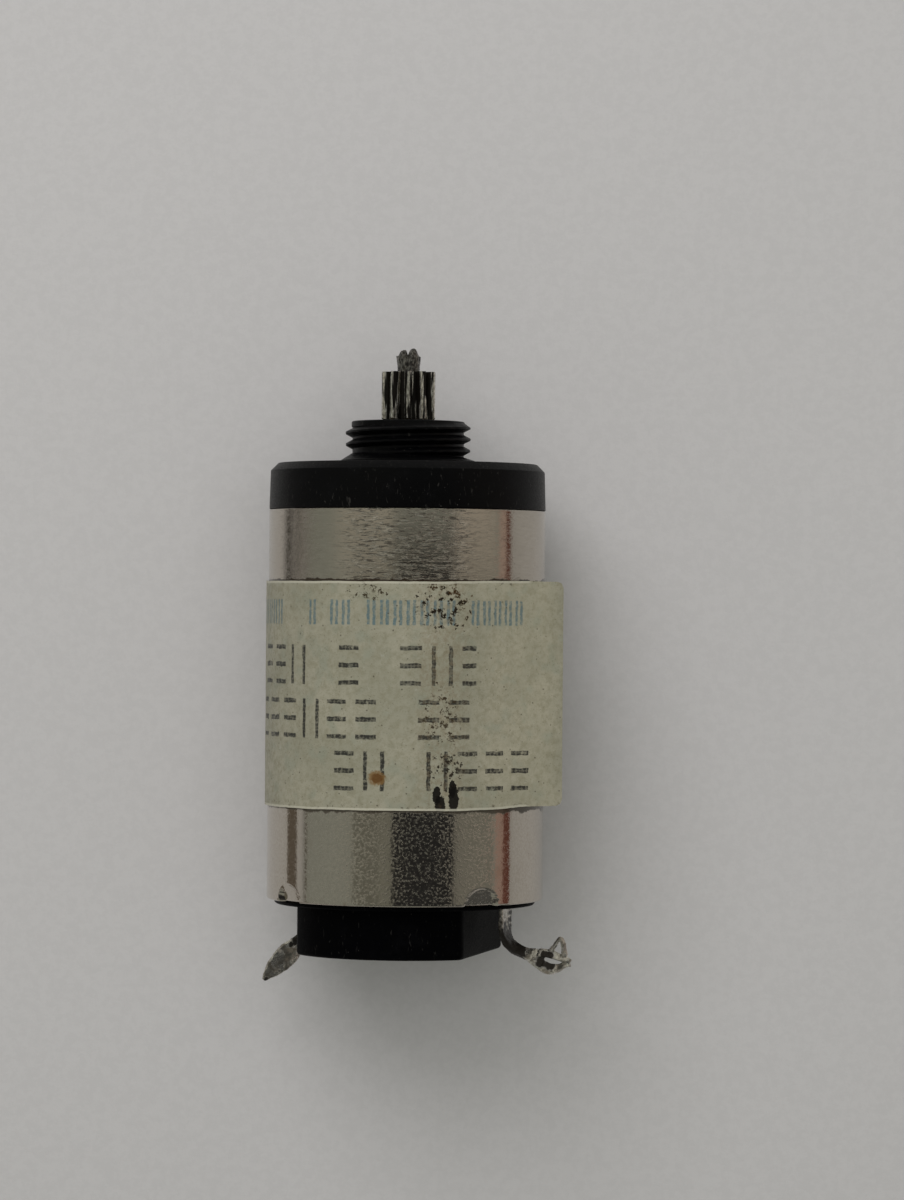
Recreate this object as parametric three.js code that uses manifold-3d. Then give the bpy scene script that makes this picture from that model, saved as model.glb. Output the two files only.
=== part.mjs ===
// Micro geared DC motor: a coreless motor with a two-stage spur gearhead, 12 mm across.
// Millimetres. The shaft axis is +Y, the output end points to +Y, and +Z is up.
// The origin is on the shaft axis, in the plane of the front mounting face.

import * as THREE from 'three';
import { mergeVertices } from 'three/addons/utils/BufferGeometryUtils.js';
import Module from 'manifold-3d';

const wasm = await Module();
wasm.setup();

// ---- driving dimensions ----

const TURN = 2 * Math.PI;
const BODY_R = 6; // both tubes, 12 mm across
const SEAM_GAP = 0.02; // left between pieces that butt together
const SLIP = 0.02; // radial play of a turning shaft
const PRESS = 0.02; // radial play drawn where the real parts are pressed together

// Stations along the shaft axis, from the output end to the solder tabs.
const STUB_END = 4.95;
const PINION_FRONT = 4;
const PINION_BACK = 1.95;
const NOSE_FRONT = 1.85;
const FLANGE_BACK = -2;
const SPIGOT_BACK = -3;
const WHEEL_FRONT = -3.3;
const WHEEL_BACK = -4.1;
const LAY_WHEEL_FRONT = -4.4;
const LAY_WHEEL_BACK = -5.1;
const INPUT_PINION_BACK = -5.42;
const GEAR_PLATE_FRONT = -5.5;
const CAN_FRONT = -6.2;
const LABEL_FRONT = -5.05;
const LABEL_BACK = -14.8;
const CAN_BACK = -18.9;
const CAP_RIM_BACK = -19.1;
const CAP_BACK = -21.2;

// Front cover: a flange with a threaded nose, M5.5 x 0.5, right-hand.
const FLANGE_CHAMFER = 0.35;
const NOSE_R = 2.46;
const THREAD_ROOT_R = 2.42;
const THREAD_CREST_R = 2.7;
const THREAD_PITCH = 0.5;
const THREAD_FIRST_CREST = 0.3;
const THREAD_LAST_CREST = 1.6;
const THREAD_TOP_PHASE = 1.46; // height of a crest on the +Z side
const NOSE_FOOT_R = 2.95;
const BUSH_R = 1.23;
const OUTPUT_SHAFT_R = 0.6;
const OUTPUT_STEP_R = 0.48; // under the pinion
const STUB_R = 0.52; // flared by staking

// Gear train. The two stages share one centre distance, so both shafts are in line.
const MODULE = 0.15;
const SMALL_TEETH = 8;
const LARGE_TEETH = 27;
const PROFILE_SHIFT = 0.5;
const SMALL_TIP_R = 0.79;
const THINNING = 0.03; // taken off each tooth for backlash
const LAY_X = MODULE * (SMALL_TEETH + LARGE_TEETH) / 2;
const LAY_AXLE_R = 0.25;
const OUTPUT_MODULE = 0.2;
const OUTPUT_TEETH = 10;
const PRESSURE_ANGLE = THREE.MathUtils.degToRad(20);

// Tubes and motor.
const GEARHEAD_BORE_R = 5.5;
const CAN_BORE_R = 5.6;
const CARRIER_R = 1.5;
const BEARING_R = 0.97;
const ROTOR_SHAFT_R = 0.4;
const ROTOR_STEP_R = 0.25;
const MAGNET_R = 4.55;
const WINDING_R = 5.3;
const WINDING_BORE_R = 4.75;
const COMMUTATOR_R = 0.9;
const DIMPLE_R = 0.85;
const DIMPLE_DEPTH = 0.15;
const FIRST_DIMPLE = THREE.MathUtils.degToRad(34); // angles run from +Z towards +X

// Rear cap: a round block with two flats, turned a little about the axis.
const CAP_RIM_R = 5.65;
const CAP_R = 5.03;
const CAP_TILT = THREE.MathUtils.degToRad(14);
const RIGHT_FLAT = 3.5;
const LEFT_FLAT = 4.03;
const TERMINAL_OFFSET = 4.5;
const TERMINAL_THICKNESS = 0.2;
const TERMINAL_WIDTH = 1.6;
const SLOT_PLAY = 0.06;

// Label: wraps most of the way round, and its free end stands off along a tangent.
const LABEL_R = 6.02;
const LABEL_THICKNESS = 0.08;
const LABEL_LIFT = THREE.MathUtils.degToRad(37);
const LABEL_WRAP = THREE.MathUtils.degToRad(277);
const LABEL_FLAG = 3.7;

const ROUND = 48; // sides of a large turned piece
const SMALL_ROUND = 24;

// ---- materials ----

function finish(color, roughness, metalness) {
  return new THREE.MeshStandardMaterial({ color, roughness, metalness });
}

const blackPlastic = finish(0x17171b, 0.5, 0);
const nickel = finish(0xa6a198, 0.22, 1);
const brushedNickel = finish(0x9c968c, 0.35, 1);
const gearSteel = finish(0x8d8a82, 0.35, 1);
const shaftSteel = finish(0x6e6b66, 0.4, 1);
const bronze = finish(0x8a6336, 0.6, 1);
const brass = finish(0xb08d4a, 0.4, 1);
const magnetGrey = finish(0x5b5c60, 0.4, 1);
const copper = finish(0x8a4a22, 0.4, 0.6);
const tinned = finish(0x8f8b80, 0.4, 1);
const paper = finish(0xb5ae95, 0.6, 0);
const resin = finish(0x4a3524, 0.6, 0);
const springBronze = finish(0xb99a5b, 0.3, 1);

// ---- shape helpers ----

function signedVolume(geometry) {
  const position = geometry.attributes.position;
  const index = geometry.index;
  const corners = [new THREE.Vector3(), new THREE.Vector3(), new THREE.Vector3()];
  let sum = 0;
  for (let i = 0; i < index.count; i += 3) {
    corners.forEach((corner, k) => corner.fromBufferAttribute(position, index.getX(i + k)));
    sum += corners[0].dot(corners[1].cross(corners[2]));
  }
  return sum / 6;
}

// A closed indexed shell with merged corners and its faces pointing out.
function closed(geometry) {
  geometry.deleteAttribute('normal');
  geometry.deleteAttribute('uv');
  const merged = mergeVertices(geometry, 1e-4);
  const kept = [];
  const index = merged.index.array;
  for (let i = 0; i < index.length; i += 3) {
    const [a, b, c] = [index[i], index[i + 1], index[i + 2]];
    if (a !== b && b !== c && c !== a) {
      kept.push(a, b, c);
    }
  }
  merged.setIndex(kept);
  if (signedVolume(merged) < 0) {
    merged.setIndex(kept.reverse());
  }
  return merged;
}

function toSolid(geometry) {
  const shell = closed(geometry);
  return new wasm.Manifold(new wasm.Mesh({
    numProp: 3,
    vertProperties: new Float32Array(shell.attributes.position.array),
    triVerts: new Uint32Array(shell.index.array),
  }));
}

function fromSolid(solid) {
  const mesh = solid.getMesh();
  const geometry = new THREE.BufferGeometry();
  geometry.setAttribute('position', new THREE.BufferAttribute(mesh.vertProperties, 3));
  geometry.setIndex(new THREE.BufferAttribute(mesh.triVerts, 1));
  return geometry;
}

function cut(geometry, ...tools) {
  return fromSolid(tools.reduce((solid, tool) => solid.subtract(toSolid(tool)), toSolid(geometry)));
}

function join(geometry, ...additions) {
  return fromSolid(additions.reduce((solid, added) => solid.add(toSolid(added)), toSolid(geometry)));
}

// Turns a closed outline of [radius, y] corners about the shaft axis, with a side facing -Z.
function turned(outline, sides = ROUND) {
  const points = [...outline, outline[0]].map(([radius, y]) => new THREE.Vector2(radius, y));
  return closed(new THREE.LatheGeometry(points, sides, Math.PI / sides, TURN));
}

function tube(outer, inner, front, back, sides = ROUND) {
  return turned([[inner, front], [outer, front], [outer, back], [inner, back]], sides);
}

function rod(steps, sides = SMALL_ROUND) {
  const outline = [[0, steps[0][1]]];
  for (const [radius, from, to] of steps) {
    outline.push([radius, from], [radius, to]);
  }
  outline.push([0, steps.at(-1)[2]]);
  const points = outline.map(([radius, y]) => new THREE.Vector2(radius, y));
  return closed(new THREE.LatheGeometry(points, sides, Math.PI / sides, TURN));
}

// Extrudes a flat outline between two stations. The outline's y runs towards -Z.
function alongAxis(shape, front, back) {
  const geometry = new THREE.ExtrudeGeometry(shape, {
    depth: front - back, bevelEnabled: false, curveSegments: SMALL_ROUND,
  });
  geometry.rotateX(-Math.PI / 2);
  geometry.translate(0, back, 0);
  return closed(geometry);
}

function roundHole(radius, x = 0) {
  return new THREE.Path().absarc(x, 0, radius, 0, TURN, true);
}

// A box along the cap's tilted direction: `outward` runs from the axis towards +X.
function capBox(outwardFrom, outwardTo, halfWidth, front, back) {
  const box = new THREE.BoxGeometry(outwardTo - outwardFrom, front - back, 2 * halfWidth);
  box.translate((outwardFrom + outwardTo) / 2, (front + back) / 2, 0);
  box.rotateY(-CAP_TILT);
  return box;
}

// ---- gears ----

const involute = (angle) => Math.tan(angle) - angle;

// Outline of a spur gear. `phase` is the angle of its first tooth from +Z towards +X.
function gearShape({ teeth, module, shift, tipR, rootR, thinning, phase, flankSteps, centreX = 0 }) {
  const pitchR = module * teeth / 2;
  const baseR = pitchR * Math.cos(PRESSURE_ANGLE);
  const pitchHalf = (Math.PI / 2 + 2 * shift * Math.tan(PRESSURE_ANGLE)) / teeth - thinning / (2 * pitchR);
  const baseHalf = pitchHalf + involute(PRESSURE_ANGLE);
  const flank = [[rootR, baseHalf]];
  for (let i = 0; i <= flankSteps; i++) {
    const radius = THREE.MathUtils.lerp(Math.max(baseR, rootR), tipR, i / flankSteps);
    flank.push([radius, baseHalf - involute(Math.acos(Math.min(1, baseR / radius)))]);
  }
  const shape = new THREE.Shape();
  for (let tooth = 0; tooth < teeth; tooth++) {
    const middle = phase + TURN * tooth / teeth;
    const rising = flank.map(([radius, half]) => [radius, middle - half]);
    const falling = flank.map(([radius, half]) => [radius, middle + half]).reverse();
    for (const [radius, angle] of [...rising, ...falling]) {
      const x = centreX + radius * Math.sin(angle);
      const y = -radius * Math.cos(angle);
      if (shape.curves.length === 0 && shape.currentPoint.length() === 0) {
        shape.moveTo(x, y);
      } else {
        shape.lineTo(x, y);
      }
    }
  }
  return shape;
}

// The lay shaft stands at +X from the main axis, and each pair meets on that line.
const TOWARDS_LAY = Math.PI / 2;
const smallGear = {
  teeth: SMALL_TEETH, module: MODULE, shift: PROFILE_SHIFT, thinning: THINNING, flankSteps: 3,
  tipR: SMALL_TIP_R, rootR: MODULE * (SMALL_TEETH / 2 - 1.25 + PROFILE_SHIFT),
};
const largeGear = {
  teeth: LARGE_TEETH, module: MODULE, shift: -PROFILE_SHIFT, thinning: THINNING, flankSteps: 1,
  tipR: MODULE * (LARGE_TEETH / 2 + 1 - PROFILE_SHIFT),
  rootR: MODULE * (LARGE_TEETH / 2 - 1.25 - PROFILE_SHIFT),
};

function outputWheel() {
  const bore = OUTPUT_SHAFT_R + PRESS;
  const shape = gearShape({ ...largeGear, phase: TOWARDS_LAY });
  shape.holes.push(roundHole(bore));
  const hub = tube(1.05, bore, -2.9, WHEEL_FRONT - 0.1, SMALL_ROUND);
  return join(alongAxis(shape, WHEEL_FRONT, WHEEL_BACK), hub);
}

function layPinion() {
  const bore = LAY_AXLE_R + SLIP;
  const phase = TOWARDS_LAY + Math.PI + Math.PI / SMALL_TEETH;
  const shape = gearShape({ ...smallGear, phase, centreX: LAY_X });
  shape.holes.push(roundHole(bore, LAY_X));
  const hub = tube(0.45, bore, WHEEL_BACK, LAY_WHEEL_BACK, SMALL_ROUND);
  hub.translate(LAY_X, 0, 0);
  return join(alongAxis(shape, WHEEL_FRONT + 0.1, LAY_WHEEL_FRONT + SEAM_GAP), hub);
}

function layWheel() {
  const shape = gearShape({ ...largeGear, phase: -TOWARDS_LAY, centreX: LAY_X });
  shape.holes.push(roundHole(0.45 + PRESS, LAY_X));
  return alongAxis(shape, LAY_WHEEL_FRONT, LAY_WHEEL_BACK);
}

function inputPinion() {
  const phase = TOWARDS_LAY + Math.PI / SMALL_TEETH;
  const shape = gearShape({ ...smallGear, phase });
  shape.holes.push(roundHole(ROTOR_STEP_R + PRESS));
  return alongAxis(shape, LAY_WHEEL_FRONT + 0.05, INPUT_PINION_BACK);
}

function outputPinion() {
  const shape = gearShape({
    teeth: OUTPUT_TEETH, module: OUTPUT_MODULE, shift: 0, thinning: 0.02, phase: 0, flankSteps: 3,
    tipR: OUTPUT_MODULE * (OUTPUT_TEETH / 2 + 1), rootR: OUTPUT_MODULE * (OUTPUT_TEETH / 2 - 1.25),
  });
  shape.holes.push(roundHole(OUTPUT_STEP_R + PRESS));
  return alongAxis(shape, PINION_FRONT, PINION_BACK);
}

// ---- gearhead ----

// The helical ridge of the thread, run out to nothing at both ends.
function threadRidge() {
  const stepsPerTurn = 30;
  const firstAngle = TURN * (THREAD_FIRST_CREST - THREAD_TOP_PHASE) / THREAD_PITCH;
  const lastAngle = TURN * (THREAD_LAST_CREST - THREAD_TOP_PHASE) / THREAD_PITCH;
  const steps = Math.round(stepsPerTurn * (lastAngle - firstAngle) / TURN);
  const buriedR = THREAD_ROOT_R - 0.15;
  const vertices = [];
  for (let i = 0; i <= steps; i++) {
    const angle = THREE.MathUtils.lerp(firstAngle, lastAngle, i / steps);
    const height = THREAD_TOP_PHASE + THREAD_PITCH * angle / TURN;
    const runOut = Math.min(1, Math.min(i, steps - i) / (stepsPerTurn / 4));
    const crestR = THREE.MathUtils.lerp(THREAD_ROOT_R - 0.05, THREAD_CREST_R, runOut);
    for (const [radius, offset] of [[buriedR, -0.24], [crestR, -0.04], [crestR, 0.04], [buriedR, 0.24]]) {
      vertices.push(radius * Math.sin(angle), height + offset, radius * Math.cos(angle));
    }
  }
  const faces = [0, 1, 2, 0, 2, 3];
  for (let i = 0; i < steps; i++) {
    for (let k = 0; k < 4; k++) {
      const [a, b] = [4 * i + k, 4 * i + (k + 1) % 4];
      faces.push(a, a + 4, b, b, a + 4, b + 4);
    }
  }
  const end = 4 * steps;
  faces.push(end, end + 2, end + 1, end, end + 3, end + 2);
  const geometry = new THREE.BufferGeometry();
  geometry.setAttribute('position', new THREE.Float32BufferAttribute(vertices, 3));
  geometry.setIndex(faces);
  return geometry;
}

function frontCover() {
  const body = turned([
    [BUSH_R + PRESS, NOSE_FRONT], [NOSE_R - 0.1, NOSE_FRONT], [NOSE_R, NOSE_FRONT - 0.1],
    [NOSE_R, THREAD_LAST_CREST - 0.1], [THREAD_ROOT_R, THREAD_LAST_CREST - 0.2],
    [THREAD_ROOT_R, THREAD_FIRST_CREST], [NOSE_FOOT_R, 0],
    [BODY_R - 0.05 - FLANGE_CHAMFER, 0], [BODY_R - 0.05, -FLANGE_CHAMFER],
    [BODY_R, FLANGE_BACK], [GEARHEAD_BORE_R - 0.05, FLANGE_BACK], [GEARHEAD_BORE_R - 0.05, SPIGOT_BACK],
    [BUSH_R + PRESS, SPIGOT_BACK], [BUSH_R + PRESS, -1.2], [0.75, -1.2], [0.75, 0.3],
    [BUSH_R + PRESS, 0.3],
  ]);
  const axleHole = rod([[LAY_AXLE_R + PRESS, -1, SPIGOT_BACK - 0.5]]);
  axleHole.translate(LAY_X, 0, 0);
  return cut(join(body, threadRidge()), axleHole);
}

function gearPlate() {
  const shape = new THREE.Shape().absarc(0, 0, GEARHEAD_BORE_R - 0.05, 0, TURN, false);
  shape.holes.push(roundHole(CARRIER_R + PRESS), roundHole(LAY_AXLE_R + PRESS, LAY_X));
  return alongAxis(shape, GEAR_PLATE_FRONT, CAN_FRONT);
}

// ---- motor ----

function motorCan() {
  const front = CAN_FRONT - SEAM_GAP;
  const shell = turned([
    [CARRIER_R + PRESS, front], [BODY_R, front], [BODY_R, CAN_BACK + 0.12],
    [BODY_R - 0.12, CAN_BACK], [CAN_BORE_R, CAN_BACK],
    [CAN_BORE_R, front - 0.7], [CARRIER_R + PRESS, front - 0.7],
  ]);
  const punchR = (DIMPLE_R ** 2 + DIMPLE_DEPTH ** 2) / (2 * DIMPLE_DEPTH);
  const punches = [0, 1, 2, 3].map((quarter) => {
    const punch = new THREE.SphereGeometry(punchR, 32, 20);
    punch.translate(0, CAN_BACK, BODY_R + punchR - DIMPLE_DEPTH);
    punch.rotateY(FIRST_DIMPLE + quarter * TURN / 4);
    return punch;
  });
  return cut(shell, ...punches);
}

function terminalSlots(front, back) {
  return [-1, 1].map((side) => {
    const middle = side * TERMINAL_OFFSET;
    const half = TERMINAL_THICKNESS / 2 + SLOT_PLAY;
    return capBox(middle - half, middle + half, TERMINAL_WIDTH / 2 + SLOT_PLAY, front, back);
  });
}

function brushHolder() {
  const cup = turned([
    [0, -18.1], [4.6, -18.1], [4.6, -16.3], [CAN_BORE_R - 0.05, -16.3],
    [CAN_BORE_R - 0.05, CAN_BACK], [0, CAN_BACK],
  ]);
  return cut(cup, ...terminalSlots(-17.4, CAN_BACK - 1));
}

// A leaf spring from a solder tab along the holder's floor and up beside the commutator.
function brush(side) {
  const inner = COMMUTATOR_R + 0.03;
  const span = [[inner, 4.3, -17.95, -18.05], [inner, inner + 0.08, -16, -18]];
  const [base, finger] = span.map(([from, to, front, back]) => (
    capBox(Math.min(side * from, side * to), Math.max(side * from, side * to), 0.4, front, back)
  ));
  return join(base, finger);
}

function endCap() {
  const block = new THREE.Shape();
  const right = Math.acos(RIGHT_FLAT / CAP_R);
  const left = Math.acos(LEFT_FLAT / CAP_R);
  block.absarc(0, 0, CAP_R, right, Math.PI - left, false);
  block.absarc(0, 0, CAP_R, Math.PI + left, TURN - right, false);
  const body = alongAxis(block, CAP_RIM_BACK + 0.1, CAP_BACK);
  body.rotateY(-CAP_TILT);
  const rim = rod([[CAP_RIM_R, CAN_BACK - SEAM_GAP, CAP_RIM_BACK]], ROUND);
  return cut(join(rim, body), ...terminalSlots(CAN_BACK + 1, CAP_RIM_BACK - 0.05));
}

// A flat strip through stations of [outward, y, up, twist, width], twisted about its run.
function strip(stations, thickness) {
  const vertices = [];
  const centres = stations.map(([outward, y, up]) => new THREE.Vector3(outward, y, up));
  stations.forEach(([, , , twist, width], i) => {
    const before = centres[Math.max(0, i - 1)];
    const after = centres[Math.min(centres.length - 1, i + 1)];
    const run = after.clone().sub(before).normalize();
    const across = new THREE.Vector3(0, 0, 1).addScaledVector(run, -run.z).normalize();
    across.applyAxisAngle(run, THREE.MathUtils.degToRad(twist));
    const face = run.clone().cross(across);
    for (const [a, b] of [[-1, -1], [1, -1], [1, 1], [-1, 1]]) {
      const corner = centres[i].clone();
      corner.addScaledVector(across, a * width / 2).addScaledVector(face, b * thickness / 2);
      vertices.push(...corner.toArray());
    }
  });
  const faces = [0, 1, 2, 0, 2, 3];
  for (let i = 0; i < stations.length - 1; i++) {
    for (let k = 0; k < 4; k++) {
      const [a, b] = [4 * i + k, 4 * i + (k + 1) % 4];
      faces.push(a, a + 4, b, b, a + 4, b + 4);
    }
  }
  const end = 4 * (stations.length - 1);
  faces.push(end, end + 2, end + 1, end, end + 3, end + 2);
  const geometry = new THREE.BufferGeometry();
  geometry.setAttribute('position', new THREE.Float32BufferAttribute(vertices, 3));
  geometry.setIndex(faces);
  return closed(geometry);
}

function rightTerminal() {
  const tab = strip([
    [4.5, -17.6, 0, 0, 1.6], [4.5, -20.1, 0, 0, 1.6], [4.62, -20.5, 0.05, 4, 1.2],
    [5, -20.95, 0.15, 20, 0.8], [5.6, -21.27, 0.3, 50, 0.75], [6.2, -21.42, 0.4, 72, 0.95],
    [6.85, -21.46, 0.45, 78, 1.1], [7.4, -21.42, 0.5, 80, 0.5],
  ], TERMINAL_THICKNESS);
  const eyelet = new THREE.CylinderGeometry(0.27, 0.27, 2, 20);
  eyelet.rotateX(Math.PI / 2);
  eyelet.translate(6.75, -21.46, 0.45);
  const pierced = cut(tab, eyelet);
  pierced.rotateY(-CAP_TILT);
  return pierced;
}

function leftTerminal() {
  const tab = strip([
    [-4.5, -17.6, 0, 0, 1.6], [-4.5, -20.45, 0, 0, 1.6], [-4.58, -20.75, 0.05, 8, 1.3],
    [-4.8, -21.02, 0.2, 30, 1], [-5.15, -21.42, 0.45, 60, 1.02], [-5.6, -21.92, 0.75, 68, 0.85],
    [-6, -22.4, 1, 70, 0.4],
  ], TERMINAL_THICKNESS);
  tab.rotateY(-CAP_TILT);
  return tab;
}

// ---- label ----

// The sheet's middle line as [x, z] points, from its hidden end round to the free end.
function labelShape() {
  const inner = [];
  const outer = [];
  const step = TURN / ROUND;
  const last = Math.round(LABEL_LIFT / step - 0.5);
  const first = Math.round((LABEL_LIFT - LABEL_WRAP) / step - 0.5);
  for (let i = first; i <= last; i++) {
    const angle = (i + 0.5) * step;
    inner.push([LABEL_R * Math.sin(angle), -LABEL_R * Math.cos(angle)]);
    outer.push([(LABEL_R + LABEL_THICKNESS) * Math.sin(angle), -(LABEL_R + LABEL_THICKNESS) * Math.cos(angle)]);
  }
  const lift = (last + 0.5) * step;
  const [alongX, alongY] = [Math.cos(lift), Math.sin(lift)];
  for (const side of [inner, outer]) {
    const [x, y] = side.at(-1);
    side.push([x + LABEL_FLAG * alongX, y + LABEL_FLAG * alongY]);
  }
  const outline = [...inner, ...outer.reverse()];
  return new THREE.Shape(outline.map(([x, y]) => new THREE.Vector2(x, y)));
}

// ---- assembly ----

const group = new THREE.Group();

function place(name, geometry, material) {
  const mesh = new THREE.Mesh(geometry, material);
  mesh.name = name;
  group.add(mesh);
}

function atLayShaft(geometry) {
  geometry.translate(LAY_X, 0, 0);
  return geometry;
}

place('front_cover', frontCover(), blackPlastic);
place('output_bush_front', tube(BUSH_R, OUTPUT_SHAFT_R + SLIP, 1.6, 0.32, SMALL_ROUND), bronze);
place('output_bush_rear', tube(BUSH_R, OUTPUT_SHAFT_R + SLIP, -1.22, -2.6, SMALL_ROUND), bronze);
place('output_washer', tube(1.1, OUTPUT_SHAFT_R + SLIP, -2.68, -2.82, SMALL_ROUND), gearSteel);
place('output_shaft', rod([
  [STUB_R, STUB_END, STUB_END - 0.2], [OUTPUT_STEP_R, PINION_FRONT, PINION_BACK],
  [OUTPUT_SHAFT_R, PINION_BACK - SEAM_GAP, WHEEL_BACK - 0.1],
]), shaftSteel);
place('output_pinion', outputPinion(), gearSteel);
place('output_wheel', outputWheel(), brass);

place('lay_axle', atLayShaft(rod([[LAY_AXLE_R, -1.05, CAN_FRONT + 0.1]])), shaftSteel);
place('lay_washer_front', atLayShaft(tube(0.6, LAY_AXLE_R + SLIP, -3.05, -3.15, SMALL_ROUND)), gearSteel);
place('lay_washer_rear', atLayShaft(tube(0.6, LAY_AXLE_R + SLIP, -5.2, -5.4, SMALL_ROUND)), gearSteel);
place('lay_pinion', layPinion(), gearSteel);
place('lay_wheel', layWheel(), brass);
place('gear_plate', gearPlate(), brass);
place('gearhead_tube', tube(BODY_R, GEARHEAD_BORE_R, FLANGE_BACK - SEAM_GAP, CAN_FRONT), brushedNickel);

place('motor_can', motorCan(), nickel);
place('bearing_carrier', tube(CARRIER_R, BEARING_R + PRESS, -5.6, -14.9, SMALL_ROUND), brass);
place('front_bearing', tube(BEARING_R, ROTOR_SHAFT_R + SLIP, -5.7, -7, SMALL_ROUND), bronze);
place('rear_bearing', tube(BEARING_R, ROTOR_SHAFT_R + SLIP, -13.5, -14.85, SMALL_ROUND), bronze);
place('magnet', tube(MAGNET_R, CARRIER_R + PRESS, -7.4, -14.6), magnetGrey);
place('rotor_shaft', rod([
  [ROTOR_STEP_R, LAY_WHEEL_FRONT + 0.1, INPUT_PINION_BACK - SEAM_GAP],
  [ROTOR_SHAFT_R, INPUT_PINION_BACK - SEAM_GAP, -17.9],
]), shaftSteel);
place('input_pinion', inputPinion(), gearSteel);
place('rotor_washer_front', tube(0.75, ROTOR_SHAFT_R + SLIP, -5.5, -5.6, SMALL_ROUND), gearSteel);
place('rotor_washer_rear', tube(0.75, ROTOR_SHAFT_R + SLIP, -14.88, -14.96, SMALL_ROUND), gearSteel);
place('winding', tube(WINDING_R, WINDING_BORE_R, -7.2, -15.6), copper);
place('commutator_plate', tube(WINDING_BORE_R - PRESS, ROTOR_SHAFT_R + PRESS, -15, -15.55), resin);
place('commutator', tube(COMMUTATOR_R, ROTOR_SHAFT_R + PRESS, -15.57, -17.7, SMALL_ROUND), copper);

place('brush_holder', brushHolder(), blackPlastic);
place('brush_right', brush(1), springBronze);
place('brush_left', brush(-1), springBronze);
place('end_cap', endCap(), blackPlastic);
place('terminal_right', rightTerminal(), tinned);
place('terminal_left', leftTerminal(), tinned);
place('label', alongAxis(labelShape(), LABEL_FRONT, LABEL_BACK), paper);

export default group;
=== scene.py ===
"""Studio scene of a geared DC micro motor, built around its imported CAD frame.

Pieces are made in millimetres and stored in metres. The shaft axis is +Y with the output end towards
+Y, the motor lies on its side on the floor, and the camera looks straight down on it.
"""

import math

import bmesh
import bpy
import numpy as np
from mathutils import Matrix, Vector, noise


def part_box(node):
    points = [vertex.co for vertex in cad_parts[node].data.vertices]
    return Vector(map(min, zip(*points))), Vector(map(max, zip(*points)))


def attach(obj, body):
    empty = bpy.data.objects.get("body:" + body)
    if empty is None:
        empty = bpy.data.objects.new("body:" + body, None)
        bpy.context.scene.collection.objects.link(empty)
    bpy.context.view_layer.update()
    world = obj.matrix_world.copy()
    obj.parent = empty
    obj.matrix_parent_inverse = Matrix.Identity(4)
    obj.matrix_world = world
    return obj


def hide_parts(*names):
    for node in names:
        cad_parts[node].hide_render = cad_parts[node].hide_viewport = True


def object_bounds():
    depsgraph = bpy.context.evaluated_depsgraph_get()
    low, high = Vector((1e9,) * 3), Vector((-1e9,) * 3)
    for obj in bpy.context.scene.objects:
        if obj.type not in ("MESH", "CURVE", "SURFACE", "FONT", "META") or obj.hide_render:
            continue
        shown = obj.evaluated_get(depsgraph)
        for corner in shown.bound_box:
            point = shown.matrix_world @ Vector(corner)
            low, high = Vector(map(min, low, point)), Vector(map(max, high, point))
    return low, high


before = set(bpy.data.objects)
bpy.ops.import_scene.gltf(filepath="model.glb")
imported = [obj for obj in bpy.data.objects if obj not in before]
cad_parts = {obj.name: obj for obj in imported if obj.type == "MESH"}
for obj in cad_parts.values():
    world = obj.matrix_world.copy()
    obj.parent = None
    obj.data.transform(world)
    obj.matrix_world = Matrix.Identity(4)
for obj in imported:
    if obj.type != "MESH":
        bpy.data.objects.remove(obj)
cad_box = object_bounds()

MM = 0.001
TURN = 2 * math.pi


# ---- sizes read from the frame, in millimetres ----


def corners(node):
    """Lowest and highest corner of a CAD node."""
    low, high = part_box(node)
    return Vector(low) / MM, Vector(high) / MM


def radii(node, centre_x=0.0):
    """Smallest and largest distance of a CAD node's vertices from a line along Y."""
    reach = [math.hypot(v.co.x / MM - centre_x, v.co.z / MM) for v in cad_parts[node].data.vertices]
    return min(reach), max(reach)


def ends(node):
    """Rearmost and foremost place of a CAD node on the shaft axis."""
    low, high = corners(node)
    return low.y, high.y


SEAM = 0.02  # the CAD leaves this between pieces that butt together
SPIGOT_BACK, NOSE_FRONT = ends("front_cover")
TUBE_BACK, TUBE_FRONT = ends("gearhead_tube")
CAN_BACK, CAN_FRONT = ends("motor_can")
LABEL_BACK, LABEL_FRONT = ends("label")
CAP_BACK = ends("end_cap")[0]
PINION_BACK, PINION_FRONT = ends("output_pinion")
SHAFT_BACK, SHAFT_FRONT = ends("output_shaft")
FLANGE_BACK = TUBE_FRONT + SEAM
BODY_R = radii("motor_can")[1]
CAP_RIM_R = radii("end_cap")[1]
PINION_R = radii("output_pinion")[1]
LAY_X = (corners("lay_axle")[0].x + corners("lay_axle")[1].x) / 2

# Details that the CAD only blocks out.
THREAD_PITCH = 0.5
THREAD_ROOT_R = 2.42
THREAD_DEPTH = 0.29
THREAD_TOP_PHASE = 1.46  # height of a crest on the +Z side
THREAD_FIRST = 0.38
THREAD_LAST = 1.72
FLANGE_CHAMFER = 0.33
FIRST_DIMPLE = math.radians(34)  # angles run from +Z towards +X
DIMPLE_R = 0.85
DIMPLE_DEPTH = 0.3
CAP_R = 5.03
CAP_TILT = math.radians(14)
RIGHT_FLAT = 3.5
LEFT_FLAT = 4.03
LABEL_LIFT = math.radians(37)
LABEL_WRAP = math.radians(277)
LABEL_FLAG = 3.7
LABEL_THICKNESS = 0.08
GEAR_MODULE = 0.15
SMALL_TEETH = 8
LARGE_TEETH = 27
SIDES = 192
MEETING_Y = -10  # under the label, between what the ring and the can mirror


# ---- mesh helpers ----


def add(name, data):
    """Puts a mesh, a light or a camera into the scene."""
    thing = bpy.data.objects.new(name, data)
    bpy.context.scene.collection.objects.link(thing)
    return thing


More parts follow.
